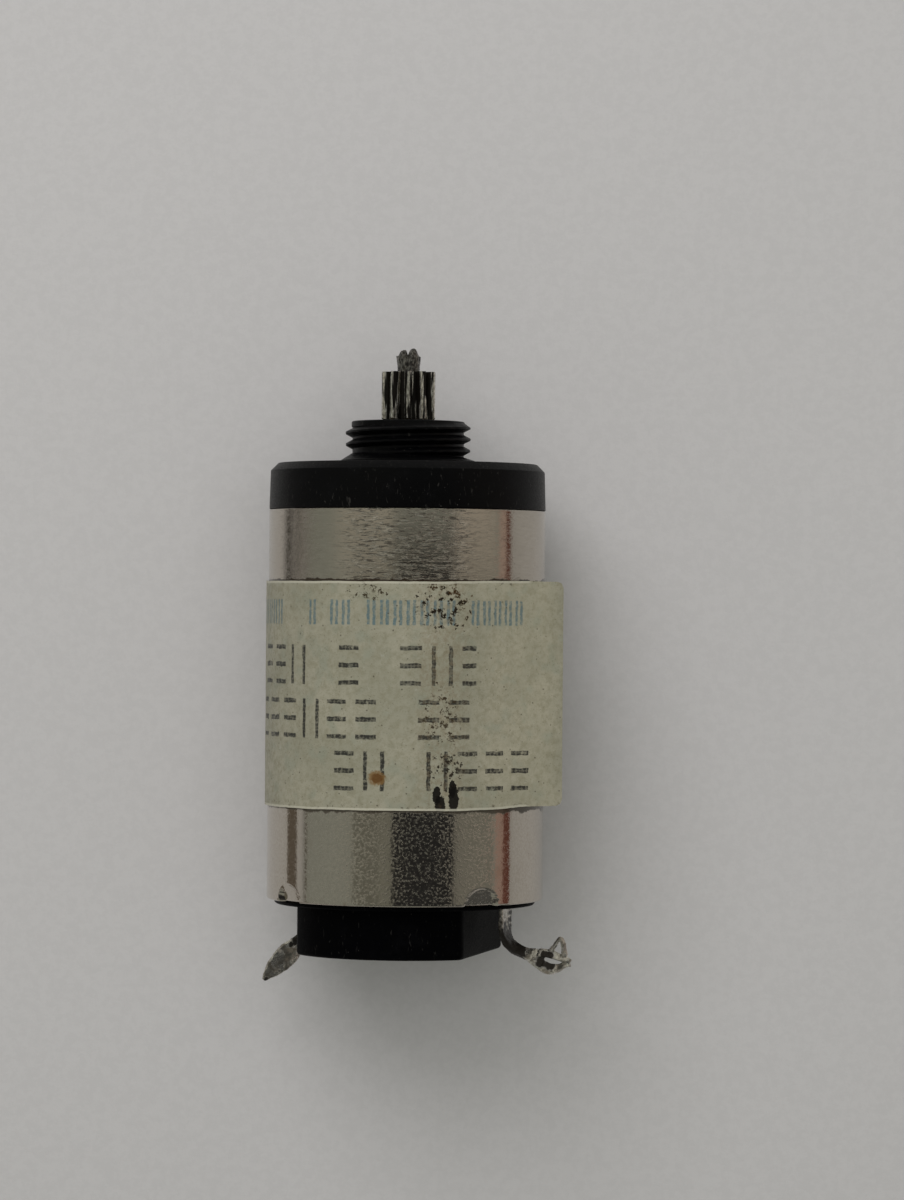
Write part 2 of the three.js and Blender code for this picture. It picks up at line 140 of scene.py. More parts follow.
def new_object(name, vertices, faces, weld=True):
    """An object from vertices in millimetres with its faces pointing out. Welding may renumber vertices."""
    mesh = bpy.data.meshes.new(name)
    mesh.from_pydata([tuple(v) for v in vertices], [], faces)
    shape = bmesh.new()
    shape.from_mesh(mesh)
    if weld:
        bmesh.ops.remove_doubles(shape, verts=shape.verts, dist=1e-5)
    bmesh.ops.recalc_face_normals(shape, faces=shape.faces)
    shape.to_mesh(mesh)
    shape.free()
    return add(name, mesh)


def loft(name, rings, closed=True, centre_x=0.0):
    """Joins rings of equal length into one skin. A closed loft runs from its last ring to its first."""
    count = len(rings[0])
    faces = []
    steps = len(rings) if closed else len(rings) - 1
    for i in range(steps):
        near = i * count
        far = (i + 1) % len(rings) * count
        for j in range(count):
            k = (j + 1) % count
            faces.append((near + j, near + k, far + k, far + j))
    made = new_object(name, np.concatenate(rings), faces)
    made.data.transform(Matrix.Translation((centre_x, 0, 0)))
    return made


def ring_at(radius, y, angles):
    """A ring about the shaft axis. The radius is one number or one for each angle."""
    return np.column_stack([radius * np.sin(angles), np.full(len(angles), y), radius * np.cos(angles)])


def even_angles(sides):
    return np.arange(sides) * TURN / sides


def turned(name, outline, sides=SIDES, shape=None, closed=True, centre_x=0.0):
    """A body turned about a line along Y from an outline of (radius, y) points.

    shape(radius, y, angles) may change the radius from angle to angle."""
    angles = even_angles(sides)
    rings = []
    for radius, y in outline:
        reach = shape(radius, y, angles) if shape else radius
        rings.append(ring_at(reach, y, angles))
    return loft(name, rings, closed, centre_x)


def rounded(outline, steps=5):
    """An outline of (radius, y, fillet) corners, with an arc in place of each filleted corner."""
    points = []
    for i, (x, y, fillet) in enumerate(outline):
        here = Vector((x, y))
        if fillet == 0:
            points.append((x, y))
            continue
        before = (Vector(outline[i - 1][:2]) - here).normalized()
        after = (Vector(outline[(i + 1) % len(outline)][:2]) - here).normalized()
        half = before.angle(after) / 2
        centre = here + (before + after).normalized() * fillet / math.sin(half)
        start = here + before * fillet / math.tan(half) - centre
        end = here + after * fillet / math.tan(half) - centre
        for step in range(steps + 1):
            spoke = start.lerp(end, step / steps).normalized() * fillet
            points.append(tuple(centre + spoke))
    return points


def clamp(values):
    """Holds values between 0 and 1."""
    return np.minimum(np.maximum(values, 0.0), 1.0)


def smooth(values):
    """A soft step from 0 to 1 over the values 0 to 1."""
    values = clamp(values)
    return values * values * (3 - 2 * values)


def wander(x, y, z):
    """Smooth noise from about -1 to 1, the same on every run."""
    return noise.noise(Vector((x, y, z)))


def roughen(thing, size, amount, seed):
    """Moves each vertex along its normal by a fixed noise, in millimetres."""
    shift = Vector((seed, seed, seed))
    places = [vertex.co.copy() for vertex in thing.data.vertices]
    normals = [normal.vector.copy() for normal in thing.data.vertex_normals]
    for vertex, place, normal in zip(thing.data.vertices, places, normals):
        lift = noise.noise(place / size + shift) + 0.5 * noise.noise(place * 2.3 / size - shift)
        vertex.co = place + normal * lift * amount


def settle(thing, body, material, node, sharp=35):
    """Brings a piece to metres, gives it its shading, material and body, and hides the CAD node that it
    stands in for.

    Edges sharper than `sharp` degrees stay crisp."""
    thing.data.transform(Matrix.Scale(MM, 4))
    thing.data.polygons.foreach_set("use_smooth", [True] * len(thing.data.polygons))
    thing.data.set_sharp_from_angle(angle=math.radians(sharp))
    thing.data.materials.clear()
    thing.data.materials.append(material)
    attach(thing, body)
    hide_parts(node)


def store(thing, name, values):
    """Keeps one number for each vertex, for a material to read."""
    thing.data.attributes.new(name, "FLOAT", "POINT").data.foreach_set("value", values)


# ---- material helper ----


class Finish:
    """A material whose textures are laid out in millimetres in the object's own space."""

    def __init__(self, name):
        self.material = bpy.data.materials.new(name)
        self.material.use_nodes = True
        self.tree = self.material.node_tree
        self.shader = self.tree.nodes["Principled BSDF"]
        metres = self.node("ShaderNodeTexCoord").outputs["Object"]
        self.place = self.stretched((1 / MM,) * 3, metres)

    def node(self, kind, **settings):
        made = self.tree.nodes.new(kind)
        for key, value in settings.items():
            setattr(made, key, value)
        return made

    def feed(self, socket, value):
        if isinstance(value, bpy.types.NodeSocket):
            self.tree.links.new(value, socket)
        else:
            socket.default_value = value

    def paint(self, socket, value):
        """Feeds a socket with a texture, a number or a colour of three numbers."""
        self.feed(socket, (*value, 1) if isinstance(value, tuple) else value)

    def stretched(self, factors, place=None):
        """The place with each coordinate multiplied, so that textures shrink along it."""
        scaled = self.node("ShaderNodeVectorMath", operation="MULTIPLY")
        self.feed(scaled.inputs[0], place or self.place)
        self.feed(scaled.inputs[1], factors)
        return scaled.outputs[0]

    def noise(self, scale, detail=3.0, roughness=0.5, stretch=(1, 1, 1), distortion=0.0):
        """Noise with features about 1 / scale mm across."""
        made = self.node("ShaderNodeTexNoise")
        self.feed(made.inputs["Vector"], self.stretched(stretch))
        made.inputs["Scale"].default_value = scale
        made.inputs["Detail"].default_value = detail
        made.inputs["Roughness"].default_value = roughness
        made.inputs["Distortion"].default_value = distortion
        return made.outputs["Fac"]

    def cells(self, scale, randomness=1.0):
        """Distance to the nearest of scattered points, as a share of their spacing of 1 / scale mm."""
        made = self.node("ShaderNodeTexVoronoi")
        self.feed(made.inputs["Vector"], self.place)
        made.inputs["Scale"].default_value = scale
        made.inputs["Randomness"].default_value = randomness
        return made.outputs["Distance"]

    def specks(self, scale, solid, clear):
        """Dots that are 1 out to the cell distance `solid` and 0 beyond `clear`."""
        return self.band(self.cells(scale), solid, clear, 1.0, 0.0)

    def attribute(self, name):
        """A number stored on the mesh's vertices."""
        return self.node("ShaderNodeAttribute", attribute_name=name).outputs["Fac"]

    def axis(self, letter):
        """One coordinate of the place, in millimetres."""
        split = self.node("ShaderNodeSeparateXYZ")
        self.feed(split.inputs[0], self.place)
        return split.outputs[letter]

    def maths(self, operation, first, second=0.0):
        made = self.node("ShaderNodeMath", operation=operation)
        self.feed(made.inputs[0], first)
        self.feed(made.inputs[1], second)
        return made.outputs[0]

    def times(self, first, second):
        return self.maths("MULTIPLY", first, second)

    def plus(self, first, second):
        return self.maths("ADD", first, second)

    def minus(self, first, second):
        return self.maths("SUBTRACT", first, second)

    def larger(self, first, second):
        return self.maths("MAXIMUM", first, second)

    def inside(self, value, low, high, soft):
        """1 where a value lies between low and high, with soft ends."""
        above = self.band(value, low - soft, low + soft)
        return self.times(above, self.band(value, high - soft, high + soft, 1, 0))

    def band(self, value, low, high, to_low=0.0, to_high=1.0):
        """Maps low..high onto to_low..to_high and holds the ends."""
        made = self.node("ShaderNodeMapRange", interpolation_type="SMOOTHSTEP")
        for key, number in (("From Min", low), ("From Max", high), ("To Min", to_low), ("To Max", to_high)):
            made.inputs[key].default_value = number
        self.feed(made.inputs["Value"], value)
        return made.outputs["Result"]

    def blend(self, amount, first, second, mode="MIX"):
        """The first colour where amount is 0 and the second where it is 1."""
        made = self.node("ShaderNodeMix", data_type="RGBA", blend_type=mode)
        self.feed(made.inputs["Factor"], amount)
        self.paint(made.inputs[6], first)
        self.paint(made.inputs[7], second)
        return made.outputs[2]

    def bump(self, height, depth, normal=None):
        """Bump whose full height is depth millimetres."""
        made = self.node("ShaderNodeBump")
        made.inputs["Distance"].default_value = depth * MM
        self.feed(made.inputs["Height"], height)
        if normal is not None:
            self.feed(made.inputs["Normal"], normal)
        return made.outputs["Normal"]

    def set(self, **values):
        """Sets the shader's own sockets, with _ for the spaces in their names."""
        for key, value in values.items():
            self.paint(self.shader.inputs[key.replace("_", " ")], value)


# ---- materials ----


def black_plastic(name, roughness, dust, shine):
    """Moulded black plastic with a fine grain, dust specks and rubbed patches."""
    f = Finish(name)
    grain = f.noise(14, detail=4, roughness=0.6)
    rubbed = f.band(f.noise(0.9, detail=5, roughness=0.65), 0.5, 0.75)
    specks = f.specks(3.2, 0.03, 0.09)
    sparse = f.band(f.noise(1.7, detail=2), 0.5, 0.62)
    speck_mask = f.times(specks, sparse)
    lint = f.band(f.noise(5, detail=2, stretch=(1, 0.25, 1), distortion=2.5), 0.66, 0.72)
    dusty = f.times(f.larger(speck_mask, f.times(lint, 0.25)), dust)
    tone = f.blend(rubbed, (0.0011, 0.0011, 0.0015), (0.0024, 0.0024, 0.003))
    f.set(Base_Color=f.blend(dusty, tone, (0.16, 0.15, 0.135)))
    f.set(Roughness=f.band(grain, 0.3, 0.7, roughness - 0.07, roughness + 0.09))
    f.set(Specular_IOR_Level=shine)
    f.set(Normal=f.bump(speck_mask, 0.012, f.bump(grain, 0.006)))
    return f.material


def around_axis(f):
    """Makes a finish's highlights stretch along the shaft axis, as marks turned round it do."""
    along_tube = f.node("ShaderNodeTangent", direction_type="RADIAL", axis="Y")
    f.set(Tangent=along_tube.outputs[0], Anisotropic_Rotation=0.25)


def stain_and_shadow_line(f, y, height, strength, ragged_size, line_y):
    """Grime and painted shadow along a ring at line_y, thicker in some places round it than in others."""
    round_it = f.noise(0.55, detail=4, roughness=0.7, stretch=(1, 0.01, 1))
    ragged = f.noise(ragged_size, detail=4, roughness=0.7, stretch=(1, 1.2, 1))
    reach = f.times(f.band(round_it, 0.42, 0.68, 0.25, 1.0), height)
    away = f.maths("ABSOLUTE", f.minus(y, line_y))
    edge = f.minus(f.maths("DIVIDE", away, reach), f.times(ragged, 0.9))
    return f.band(edge, 0.1, 0.45, strength, 0.0)


def turned_nickel():
    """Nickel plate over fine turning marks: rings round the tube, broken scratches and pits."""
    f = Finish("turned_nickel")
    around_axis(f)
    x = f.axis("X")
    y = f.axis("Y")
    rings = f.noise(1, detail=6, roughness=0.75, stretch=(0.35, 26, 0.35))
    broken = f.noise(1, detail=3, roughness=0.6, stretch=(2.6, 12, 2.6))
    rubbed = f.plus(f.times(f.inside(x, -2.3, 2.5, 0.9), 0.85), 0.15)
    scratches = f.times(f.band(broken, 0.52, 0.6), rubbed)
    marks = f.noise(1, detail=3, roughness=0.6, stretch=(2.2, 13, 2.2))
    deep = f.times(f.band(marks, 0.55, 0.64), rubbed)
    pits = f.specks(2.1, 0.02, 0.05)
    tone = f.blend(f.noise(0.7, detail=4), (0.52, 0.475, 0.41), (0.45, 0.41, 0.35))
    tone = f.blend(f.times(scratches, 0.65), tone, (0.78, 0.73, 0.66))
    tone = f.blend(f.times(deep, 0.75), tone, (0.12, 0.1, 0.09))
    gouge_y = -4.33
    line = f.maths("ABSOLUTE", f.minus(y, gouge_y))
    gouge = f.times(f.band(line, 0.02, 0.04, 1.0, 0.0), f.band(broken, 0.42, 0.55))
    here = f.times(f.band(x, -0.45, -0.1), f.band(x, 1.8, 2.2, 1.0, 0.0))
    tone = f.blend(f.times(gouge, f.times(here, 0.9)), tone, (0.05, 0.04, 0.035))
    tone = f.blend(pits, tone, (0.06, 0.045, 0.03))
    # a grimy ragged line, partly painted shadow, along the label's front edge
    grime_and_shade = stain_and_shadow_line(f, y, 0.24, 1.0, 5.0, LABEL_FRONT - 0.05)
    f.set(Base_Color=f.blend(grime_and_shade, tone, (0.035, 0.024, 0.014)))
    f.set(Metallic=f.band(grime_and_shade, 0.0, 1.0, 1.0, 0.1))
    f.set(Roughness=f.band(broken, 0.42, 0.6, 0.1, 0.2), Anisotropic=0.9)
    f.set(Normal=f.bump(deep, -0.012, f.bump(scratches, 0.01, f.bump(rings, 0.004))))
    return f.material


def nickel_plate():
    """Bright nickel plate with a mottled orange-peel skin, stains by the label, a painted shadow along the
    label's back edge and tarnish at its end.
    """
    f = Finish("nickel_plate")
    y = f.axis("Y")
    peel = f.noise(3.5, detail=3, roughness=0.55)
    mottle = f.noise(9.5, detail=3, roughness=0.65)
    calm_sides = f.plus(f.times(f.inside(f.axis("X"), -3.9, 3.9, 0.5), 0.8), 0.2)
    haze = f.times(f.band(mottle, 0.49, 0.68), calm_sides)
    stain = f.band(f.noise(0.9, detail=6, roughness=0.7), 0.55, 0.75)
    edge = f.band(y, CAN_BACK + 0.1, CAN_BACK + 0.8, 0.6, 0.0)
    stain = f.times(stain, f.plus(edge, 0.3))
    tone = f.blend(f.band(mottle, 0.35, 0.65), (0.49, 0.445, 0.385), (0.57, 0.525, 0.46))
    pits = f.specks(1.7, 0.02, 0.045)
    tone = f.blend(stain, tone, (0.33, 0.27, 0.2))
    tone = f.blend(pits, tone, (0.08, 0.06, 0.045))
    # painted shadow: the can darkens over the last 0.12 mm before the label's back edge and stays dark under
    # the label
    shade = f.band(y, LABEL_BACK - 0.12, LABEL_BACK + 0.02, 0.0, 0.7)
    grime_and_shade = f.larger(stain_and_shadow_line(f, y, 0.3, 0.9, 6.5, LABEL_BACK + 0.02), shade)
    f.set(Base_Color=f.blend(grime_and_shade, tone, (0.045, 0.032, 0.018)))
    f.set(Metallic=f.band(grime_and_shade, 0.0, 1.0, 1.0, 0.2))
    f.set(Roughness=f.band(haze, 0.0, 1.0, 0.06, 0.36))
    grain = f.times(mottle, calm_sides)
    f.set(Normal=f.bump(haze, 0.003, f.bump(grain, 0.0025, f.bump(peel, 0.0012))))
    return f.material


def worn_steel(name, light, dark, grime_and_shade, roughness, hollow_r, streaked):
    """Steel with pits, grimy patches and dark streaks along the shaft axis, painted shade below hollow_r from
    the axis and painted glints in thin lines through that shade.
    """
    f = Finish(name)
    patches = f.noise(4.5, detail=5, roughness=0.65)
    fine = f.noise(9, detail=4, stretch=(2, 0.5, 2))
    streaks = f.noise(1, detail=2, roughness=0.55, stretch=(5.5, 0.4, 5.5))
    pits = f.specks(5.0, 0.08, 0.17)
    tone = f.blend(f.band(fine, 0.35, 0.65), light, dark)
    flat = f.node("ShaderNodeVectorMath", operation="LENGTH")
    f.feed(flat.inputs[0], f.stretched((1, 0, 1)))
    wander = f.times(f.minus(patches, 0.5), 0.35)
    depth = f.plus(flat.outputs["Value"], wander)
    # painted shade in the tooth gaps: darker below hollow_r from the shaft axis
    hollow_shade = f.band(depth, hollow_r - 0.1, hollow_r + 0.06, 1.0, 0.0)
    # painted glints: thin bright lines where the streaks lift the painted shade in the gaps
    glint = f.times(f.band(streaks, 0.56, 0.62), streaked)
    hollow_shade = f.times(hollow_shade, f.minus(1.0, glint))
    dirt_and_shade = f.larger(f.band(patches, 0.66 - grime_and_shade, 0.74), f.times(pits, 0.85))
    dirt_and_shade = f.larger(dirt_and_shade, f.times(f.band(streaks, 0.455, 0.51, 1.0, 0.0), streaked))
    dirt_and_shade = f.larger(dirt_and_shade, hollow_shade)
    # near black for grimy patches, pits, dark streaks and the painted shade
    f.set(Base_Color=f.blend(dirt_and_shade, tone, (0.006, 0.005, 0.004)))
    f.set(Metallic=f.band(dirt_and_shade, 0.0, 1.0, 1.0, 0.1))
    f.set(Roughness=f.band(patches, 0.3, 0.75, roughness - 0.08, roughness + 0.25))
    f.set(Specular_IOR_Level=0.15)
    f.set(Normal=f.bump(dirt_and_shade, -0.012, f.bump(fine, 0.004)))
    return f.material


def plain_metal(name, light, dark, roughness, stretch=(1, 1, 1), scale=6.0, depth=0.003):
    """Machined or ground metal with tool marks along one direction and slight tarnish."""
    f = Finish(name)
    marks = f.noise(scale, detail=5, roughness=0.65, stretch=stretch)
    tarnish = f.band(f.noise(1.4, detail=4), 0.45, 0.7)
    f.set(Base_Color=f.blend(tarnish, light, dark), Metallic=1.0)
    f.set(Roughness=f.band(marks, 0.3, 0.7, roughness - 0.07, roughness + 0.1))
    f.set(Normal=f.bump(marks, depth))
    return f.material


def sintered_bronze():
    """Porous bronze, dark with oil."""
    f = Finish("sintered_bronze")
    pores = f.specks(16, 0.1, 0.3)
    tone = f.blend(f.noise(3, detail=4), (0.32, 0.2, 0.1), (0.5, 0.33, 0.17))
    f.set(Base_Color=f.blend(pores, tone, (0.05, 0.03, 0.015)), Metallic=0.9)
    f.set(Roughness=f.band(pores, 0.0, 1.0, 0.4, 0.7))
    f.set(Normal=f.bump(pores, -0.01))
    return f.material


def enamelled_copper():
    """Fine copper wire laid slantwise round the bell, under enamel."""
    f = Finish("enamelled_copper")
    wires = f.node("ShaderNodeTexWave", bands_direction="Y")
    f.feed(wires.inputs["Vector"], f.stretched((0.25, 1, 0.25)))
    wires.inputs["Scale"].default_value = 2.4
    wires.inputs["Distortion"].default_value = 0.8
    wires.inputs["Detail"].default_value = 1.0
    turns = wires.outputs["Fac"]
    tone = f.blend(f.noise(1.5, detail=3), (0.42, 0.15, 0.05), (0.6, 0.27, 0.1))
    f.set(Base_Color=f.blend(f.band(turns, 0.0, 0.35), (0.12, 0.04, 0.015), tone), Metallic=0.75)
    f.set(Roughness=0.3, Coat_Weight=0.5, Coat_Roughness=0.2)
    f.set(Normal=f.bump(turns, 0.02))
    return f.material


def cast_resin():
    """Brown casting resin with flow marks and bubbles."""
    f = Finish("cast_resin")
    flow = f.noise(1.6, detail=4, distortion=1.2)
    bubbles = f.specks(3, 0.06, 0.12)
    f.set(Base_Color=f.blend(flow, (0.05, 0.022, 0.01), (0.16, 0.08, 0.04)))
    f.set(Roughness=f.band(flow, 0.3, 0.7, 0.3, 0.55))
    f.set(Normal=f.bump(bubbles, -0.02, f.bump(flow, 0.02)))
    return f.material


def tinned_tab():
    """Tinned strip: dull solder with bright runs, brown flux and near-black spots."""
    f = Finish("tinned_tab")
    runs = f.noise(3.2, detail=5, roughness=0.6, distortion=0.8)
    flux = f.band(f.noise(1.9, detail=4, roughness=0.6), 0.52, 0.66)
    # near-black spots at the places listed in solder_tabs
    dark_spots = f.band(f.attribute("dark_spots"), 0.25, 0.7)
    specks = f.specks(6, 0.05, 0.12)
    tone = f.blend(f.band(runs, 0.38, 0.62), (0.36, 0.33, 0.29), (0.82, 0.79, 0.73))
    tone = f.blend(f.times(flux, 0.55), tone, (0.2, 0.15, 0.1))
    tone = f.blend(specks, tone, (0.1, 0.08, 0.06))
    f.set(Base_Color=f.blend(dark_spots, tone, (0.02, 0.017, 0.014)))
    f.set(Metallic=f.band(f.larger(dark_spots, f.times(flux, 0.5)), 0.0, 1.0, 0.95, 0.0))
    f.set(Roughness=f.band(runs, 0.35, 0.65, 0.42, 0.2), Specular_IOR_Level=0.2)
    f.set(Normal=f.bump(runs, 0.03, f.bump(f.noise(12, detail=3), 0.008)))
    return f.material


def label_paper():
    """Aged cream label: mottled, printed with generic marks, specked and stained by grease, with painted
    light on its free end and light cut edges that are partly a painted highlight.
    """
    f = Finish("label_paper")
    along = f.attribute("along")
    y = f.axis("Y")
    cloud = f.noise(0.45, detail=5, roughness=0.6)
    mottle = f.noise(3.4, detail=6, roughness=0.72)
    fine = f.noise(11, detail=4, roughness=0.7)
    tone = f.blend(f.band(cloud, 0.35, 0.65), (0.335, 0.32, 0.245), (0.4, 0.375, 0.29))
    tone = f.blend(f.band(mottle, 0.4, 0.68, 0.0, 0.6), tone, (0.25, 0.232, 0.158))
    tone = f.blend(f.band(f.noise(1.1, detail=4), 0.52, 0.7, 0.0, 0.5), tone, (0.29, 0.305, 0.24))
    tone = f.blend(f.band(fine, 0.56, 0.72, 0.0, 0.5), tone, (0.17, 0.155, 0.105))
    worn = f.band(f.noise(1.9, detail=5, roughness=0.7), 0.62, 0.72, 0.0, 0.6)
    tone = f.blend(worn, tone, (0.44, 0.43, 0.36))
    # painted light: the standing-off end, which slopes away from the key light, is lightened
    tone = f.blend(f.inside(along, 3.4, 7.2, 0.9), tone, (1.2, 1.18, 1.17), "MULTIPLY")
    tone = print_rows(f, tone, along, y)
    tone = label_dirt(f, tone, along, y)
    f.set(Base_Color=tone, Roughness=f.band(mottle, 0.3, 0.7, 0.4, 0.6), Specular_IOR_Level=0.35)
    f.set(Normal=f.bump(fine, 0.008, f.bump(mottle, 0.02)))
    return f.material


def mark_row(f, along, y, row_y, height, spacing, stroke, seed, span, level_share):
    """A row of generic marks that stand for no word: pairs of upright bars and stacks of level bars.

    level_share is the share of stacks among them."""
    wobble = f.times(f.minus(f.noise(3.5, detail=2), 0.5), 0.12)
    place = f.maths("DIVIDE", f.plus(f.plus(along, wobble), seed), spacing)
    inner = f.times(f.maths("FRACT", place), spacing)
    dice = f.node("ShaderNodeTexWhiteNoise", noise_dimensions="1D")
    f.feed(dice.inputs["W"], f.plus(f.maths("FLOOR", place), seed))
    pick = dice.outputs["Value"]
    rise = f.plus(f.minus(y, row_y), wobble)
    wide = spacing * 0.68
    rows = f.inside(rise, -height / 2, height / 2, 0.03)
    near_side = f.inside(inner, 0, stroke, 0.02)
    far_side = f.inside(inner, wide - stroke, wide, 0.02)
    uprights = f.times(f.larger(near_side, far_side), rows)
    step = (height - stroke) / 2
    level = f.maths("PINGPONG", f.plus(rise, step), step / 2)
    bars = f.band(level, stroke / 2, stroke / 2 + 0.03, 1.0, 0.0)
    bars = f.times(f.times(bars, rows), f.inside(inner, 0, wide, 0.02))
    upright_here = f.maths("GREATER_THAN", pick, level_share)
    drawn = f.times(uprights, upright_here)
    drawn = f.larger(drawn, f.times(bars, f.minus(1.0, upright_here)))
    shown = f.maths("GREATER_THAN", f.maths("FRACT", f.times(pick, 7.31)), 0.16)
    return f.times(f.times(drawn, shown), f.inside(along, *span, 0.05))


def print_rows(f, tone, along, y):
    """One faded blue row of upright bars and three rows of marks in dotted black, worn in places."""
    wear = f.band(f.noise(4, detail=5, roughness=0.7), 0.3, 0.46, 0.25, 1.0)
    dots = f.band(f.cells(6.5, randomness=0.35), 0.42, 0.7, 1.0, 0.65)
    blue = mark_row(f, along, y, LABEL_FRONT - 1.38, 1.05, 0.56, 0.13, 3.3, (-20, 6.6), 0.0)
    bleed = f.noise(7, detail=3, roughness=0.7)
    strength = f.times(f.times(wear, 0.75), f.band(bleed, 0.3, 0.6, 0.45, 1.0))
    tone = f.blend(f.times(blue, strength), tone, (0.06, 0.14, 0.18))
    # distance from the label's front edge, seed, reach along the label
    rows = ((3.62, 0.21, (-20, 3.1)), (5.9, 0.77, (-20, 4.2)), (8.07, 0.4, (-3.3, 6.9)))
    for offset, seed, span in rows:
        row = mark_row(f, along, y, LABEL_FRONT - offset, 1.66, 1.33, 0.17, seed, span, 0.45)
        ink = f.times(f.times(row, dots), wear)
        tone = f.blend(f.times(ink, 0.95), tone, (0.022, 0.022, 0.02))
    return tone


def nearness(f, along, y, centre, height, half_length, half_height):
    """1 at a spot of the label, falling to 0 round it."""
    run = f.maths("DIVIDE", f.minus(along, centre), half_length)
    rise = f.maths("DIVIDE", f.minus(y, height), half_height)
    square = f.plus(f.times(run, run), f.times(rise, rise))
    return f.band(square, 0.0, 1.6, 1.0, 0.0)


def grease(f, tone, along, y, crumbs):
    """Grease smears and stains with crumbled edges."""
    blobs = f.times(f.cells(3.4), -0.55)
    spotted = f.plus(f.plus(blobs, crumbs), -0.02)
    # place along the label from +Z, place on the axis, half length, half height, how solid, colour
    stains = (
        (1.7, -6.1, 1.5, 1.3, 0.06, (0.09, 0.055, 0.02)),
        (1.5, -6.2, 1.4, 1.3, 0.0, (0.012, 0.008, 0.004)),
        (2.1, -5.5, 0.3, 0.3, 0.3, (0.05, 0.022, 0.005)),
        (1.25, -5.4, 0.3, 0.35, 0.25, (0.05, 0.028, 0.01)),
        (-1.6, -5.55, 1.2, 0.5, 0.05, (0.04, 0.028, 0.012)),
        (1.36, -14.15, 0.2, 0.42, 1.0, (0.003, 0.002, 0.0015)),
        (1.52, -14.5, 0.24, 0.46, 1.0, (0.003, 0.002, 0.0015)),
        (2.1, -14.3, 0.24, 0.66, 1.0, (0.003, 0.002, 0.0015)),
        (2.04, -13.85, 0.17, 0.42, 1.0, (0.003, 0.002, 0.0015)),
        (1.75, -13.0, 0.9, 1.0, 0.02, (0.02, 0.014, 0.008)),
        (1.6, -10.9, 0.9, 1.6, 0.03, (0.05, 0.035, 0.018)),
    )
    for centre, height, half_length, half_height, solid, colour in stains:
        near = nearness(f, along, y, centre, height, half_length, half_height)
        grain = f.plus(f.times(spotted, 0.6), 0.3) if solid > 0.4 else spotted
        level = f.plus(f.times(near, 0.3 + 0.35 * solid), grain)
        mask = f.band(level, 0.83, 0.9, 0.0, 0.97)
        tone = f.blend(f.times(mask, f.band(near, 0.0, 0.25)), tone, colour)
    return tone


def rust_spot(f, tone, along, y, crumbs):
    """A small round spot of rust, darker in its middle."""
    for half, colour in ((0.46, (0.21, 0.115, 0.035)), (0.3, (0.12, 0.05, 0.01))):
        near = nearness(f, along, y, -1.13, -13.42, half, half * 0.85)
        rusty = f.band(f.plus(f.times(near, 1.2), crumbs), 1.25, 1.85, 0.0, 0.85)
        tone = f.blend(f.times(rusty, f.band(near, 0.0, 0.3)), tone, colour)
    return tone


def label_dirt(f, tone, along, y):
    """Scattered specks, a tan stain, grease, rust, grimy bands along both edges, and a light line on the cut
    edges that is partly the paper's white edge and partly a painted highlight.
    """
    tone = f.blend(f.times(f.specks(2.6, 0.05, 0.12), 0.75), tone, (0.06, 0.048, 0.03))
    tone = f.blend(f.times(f.specks(6, 0.08, 0.16), 0.45), tone, (0.09, 0.078, 0.05))
    ragged = f.noise(4.5, detail=5, roughness=0.72)
    tan = f.times(f.inside(along, 0.6, 2.6, 0.5), f.band(ragged, 0.42, 0.62, 0.0, 0.4))
    tone = f.blend(tan, tone, (0.22, 0.165, 0.1))
    crumbs = f.times(f.noise(9, detail=4, roughness=0.7), 1.5)
    tone = grease(f, tone, along, y, crumbs)
    tone = rust_spot(f, tone, along, y, crumbs)
    to_front = f.band(y, LABEL_FRONT - 0.32, LABEL_FRONT - 0.1)
    to_back = f.band(y, LABEL_BACK + 0.45, LABEL_BACK + 0.1)
    rim = f.times(f.larger(to_front, to_back), f.band(ragged, 0.55, 0.66))
    tone = f.blend(f.times(rim, 0.75), tone, (0.05, 0.035, 0.02))
    # painted highlight along the cut edges, partly the paper's own white edge
    cut_edge_highlight = f.band(f.attribute("edge"), 0.35, 0.75, 0.0, 0.7)
    return f.blend(cut_edge_highlight, tone, (0.6, 0.57, 0.47))


# ---- gearhead pieces ----


def thread_radius(radius, y, angles):
    """Adds the helical ridge to the nose and the cone that it runs out into above the flange."""
    if not (0.02 < y < THREAD_LAST + 0.1 and THREAD_ROOT_R - 0.1 < radius < 3):
        return radius
    wrapped = np.where(angles > math.pi, angles - TURN, angles)
    crest = THREAD_TOP_PHASE + THREAD_PITCH * wrapped / TURN
    crest = crest + THREAD_PITCH * np.round((y - crest) / THREAD_PITCH)
    away = np.abs(y - crest) / THREAD_PITCH
    ridge = clamp((0.4 - away) / 0.31)
    fade = smooth((THREAD_LAST - crest) / 0.12) * smooth((crest - THREAD_FIRST) / 0.15)
    dents = np.array([wander(math.sin(a) * 5, y * 3, math.cos(a) * 5) for a in angles])
    threaded = THREAD_ROOT_R + THREAD_DEPTH * ridge * fade * (1 + 0.1 * dents)
    foot_height = 0.24 - 0.08 * np.sin(angles)
    cone = THREAD_ROOT_R + 0.5 * clamp(1 - (y - 0.15) / foot_height)
    return np.maximum(np.maximum(radius, threaded), cone)


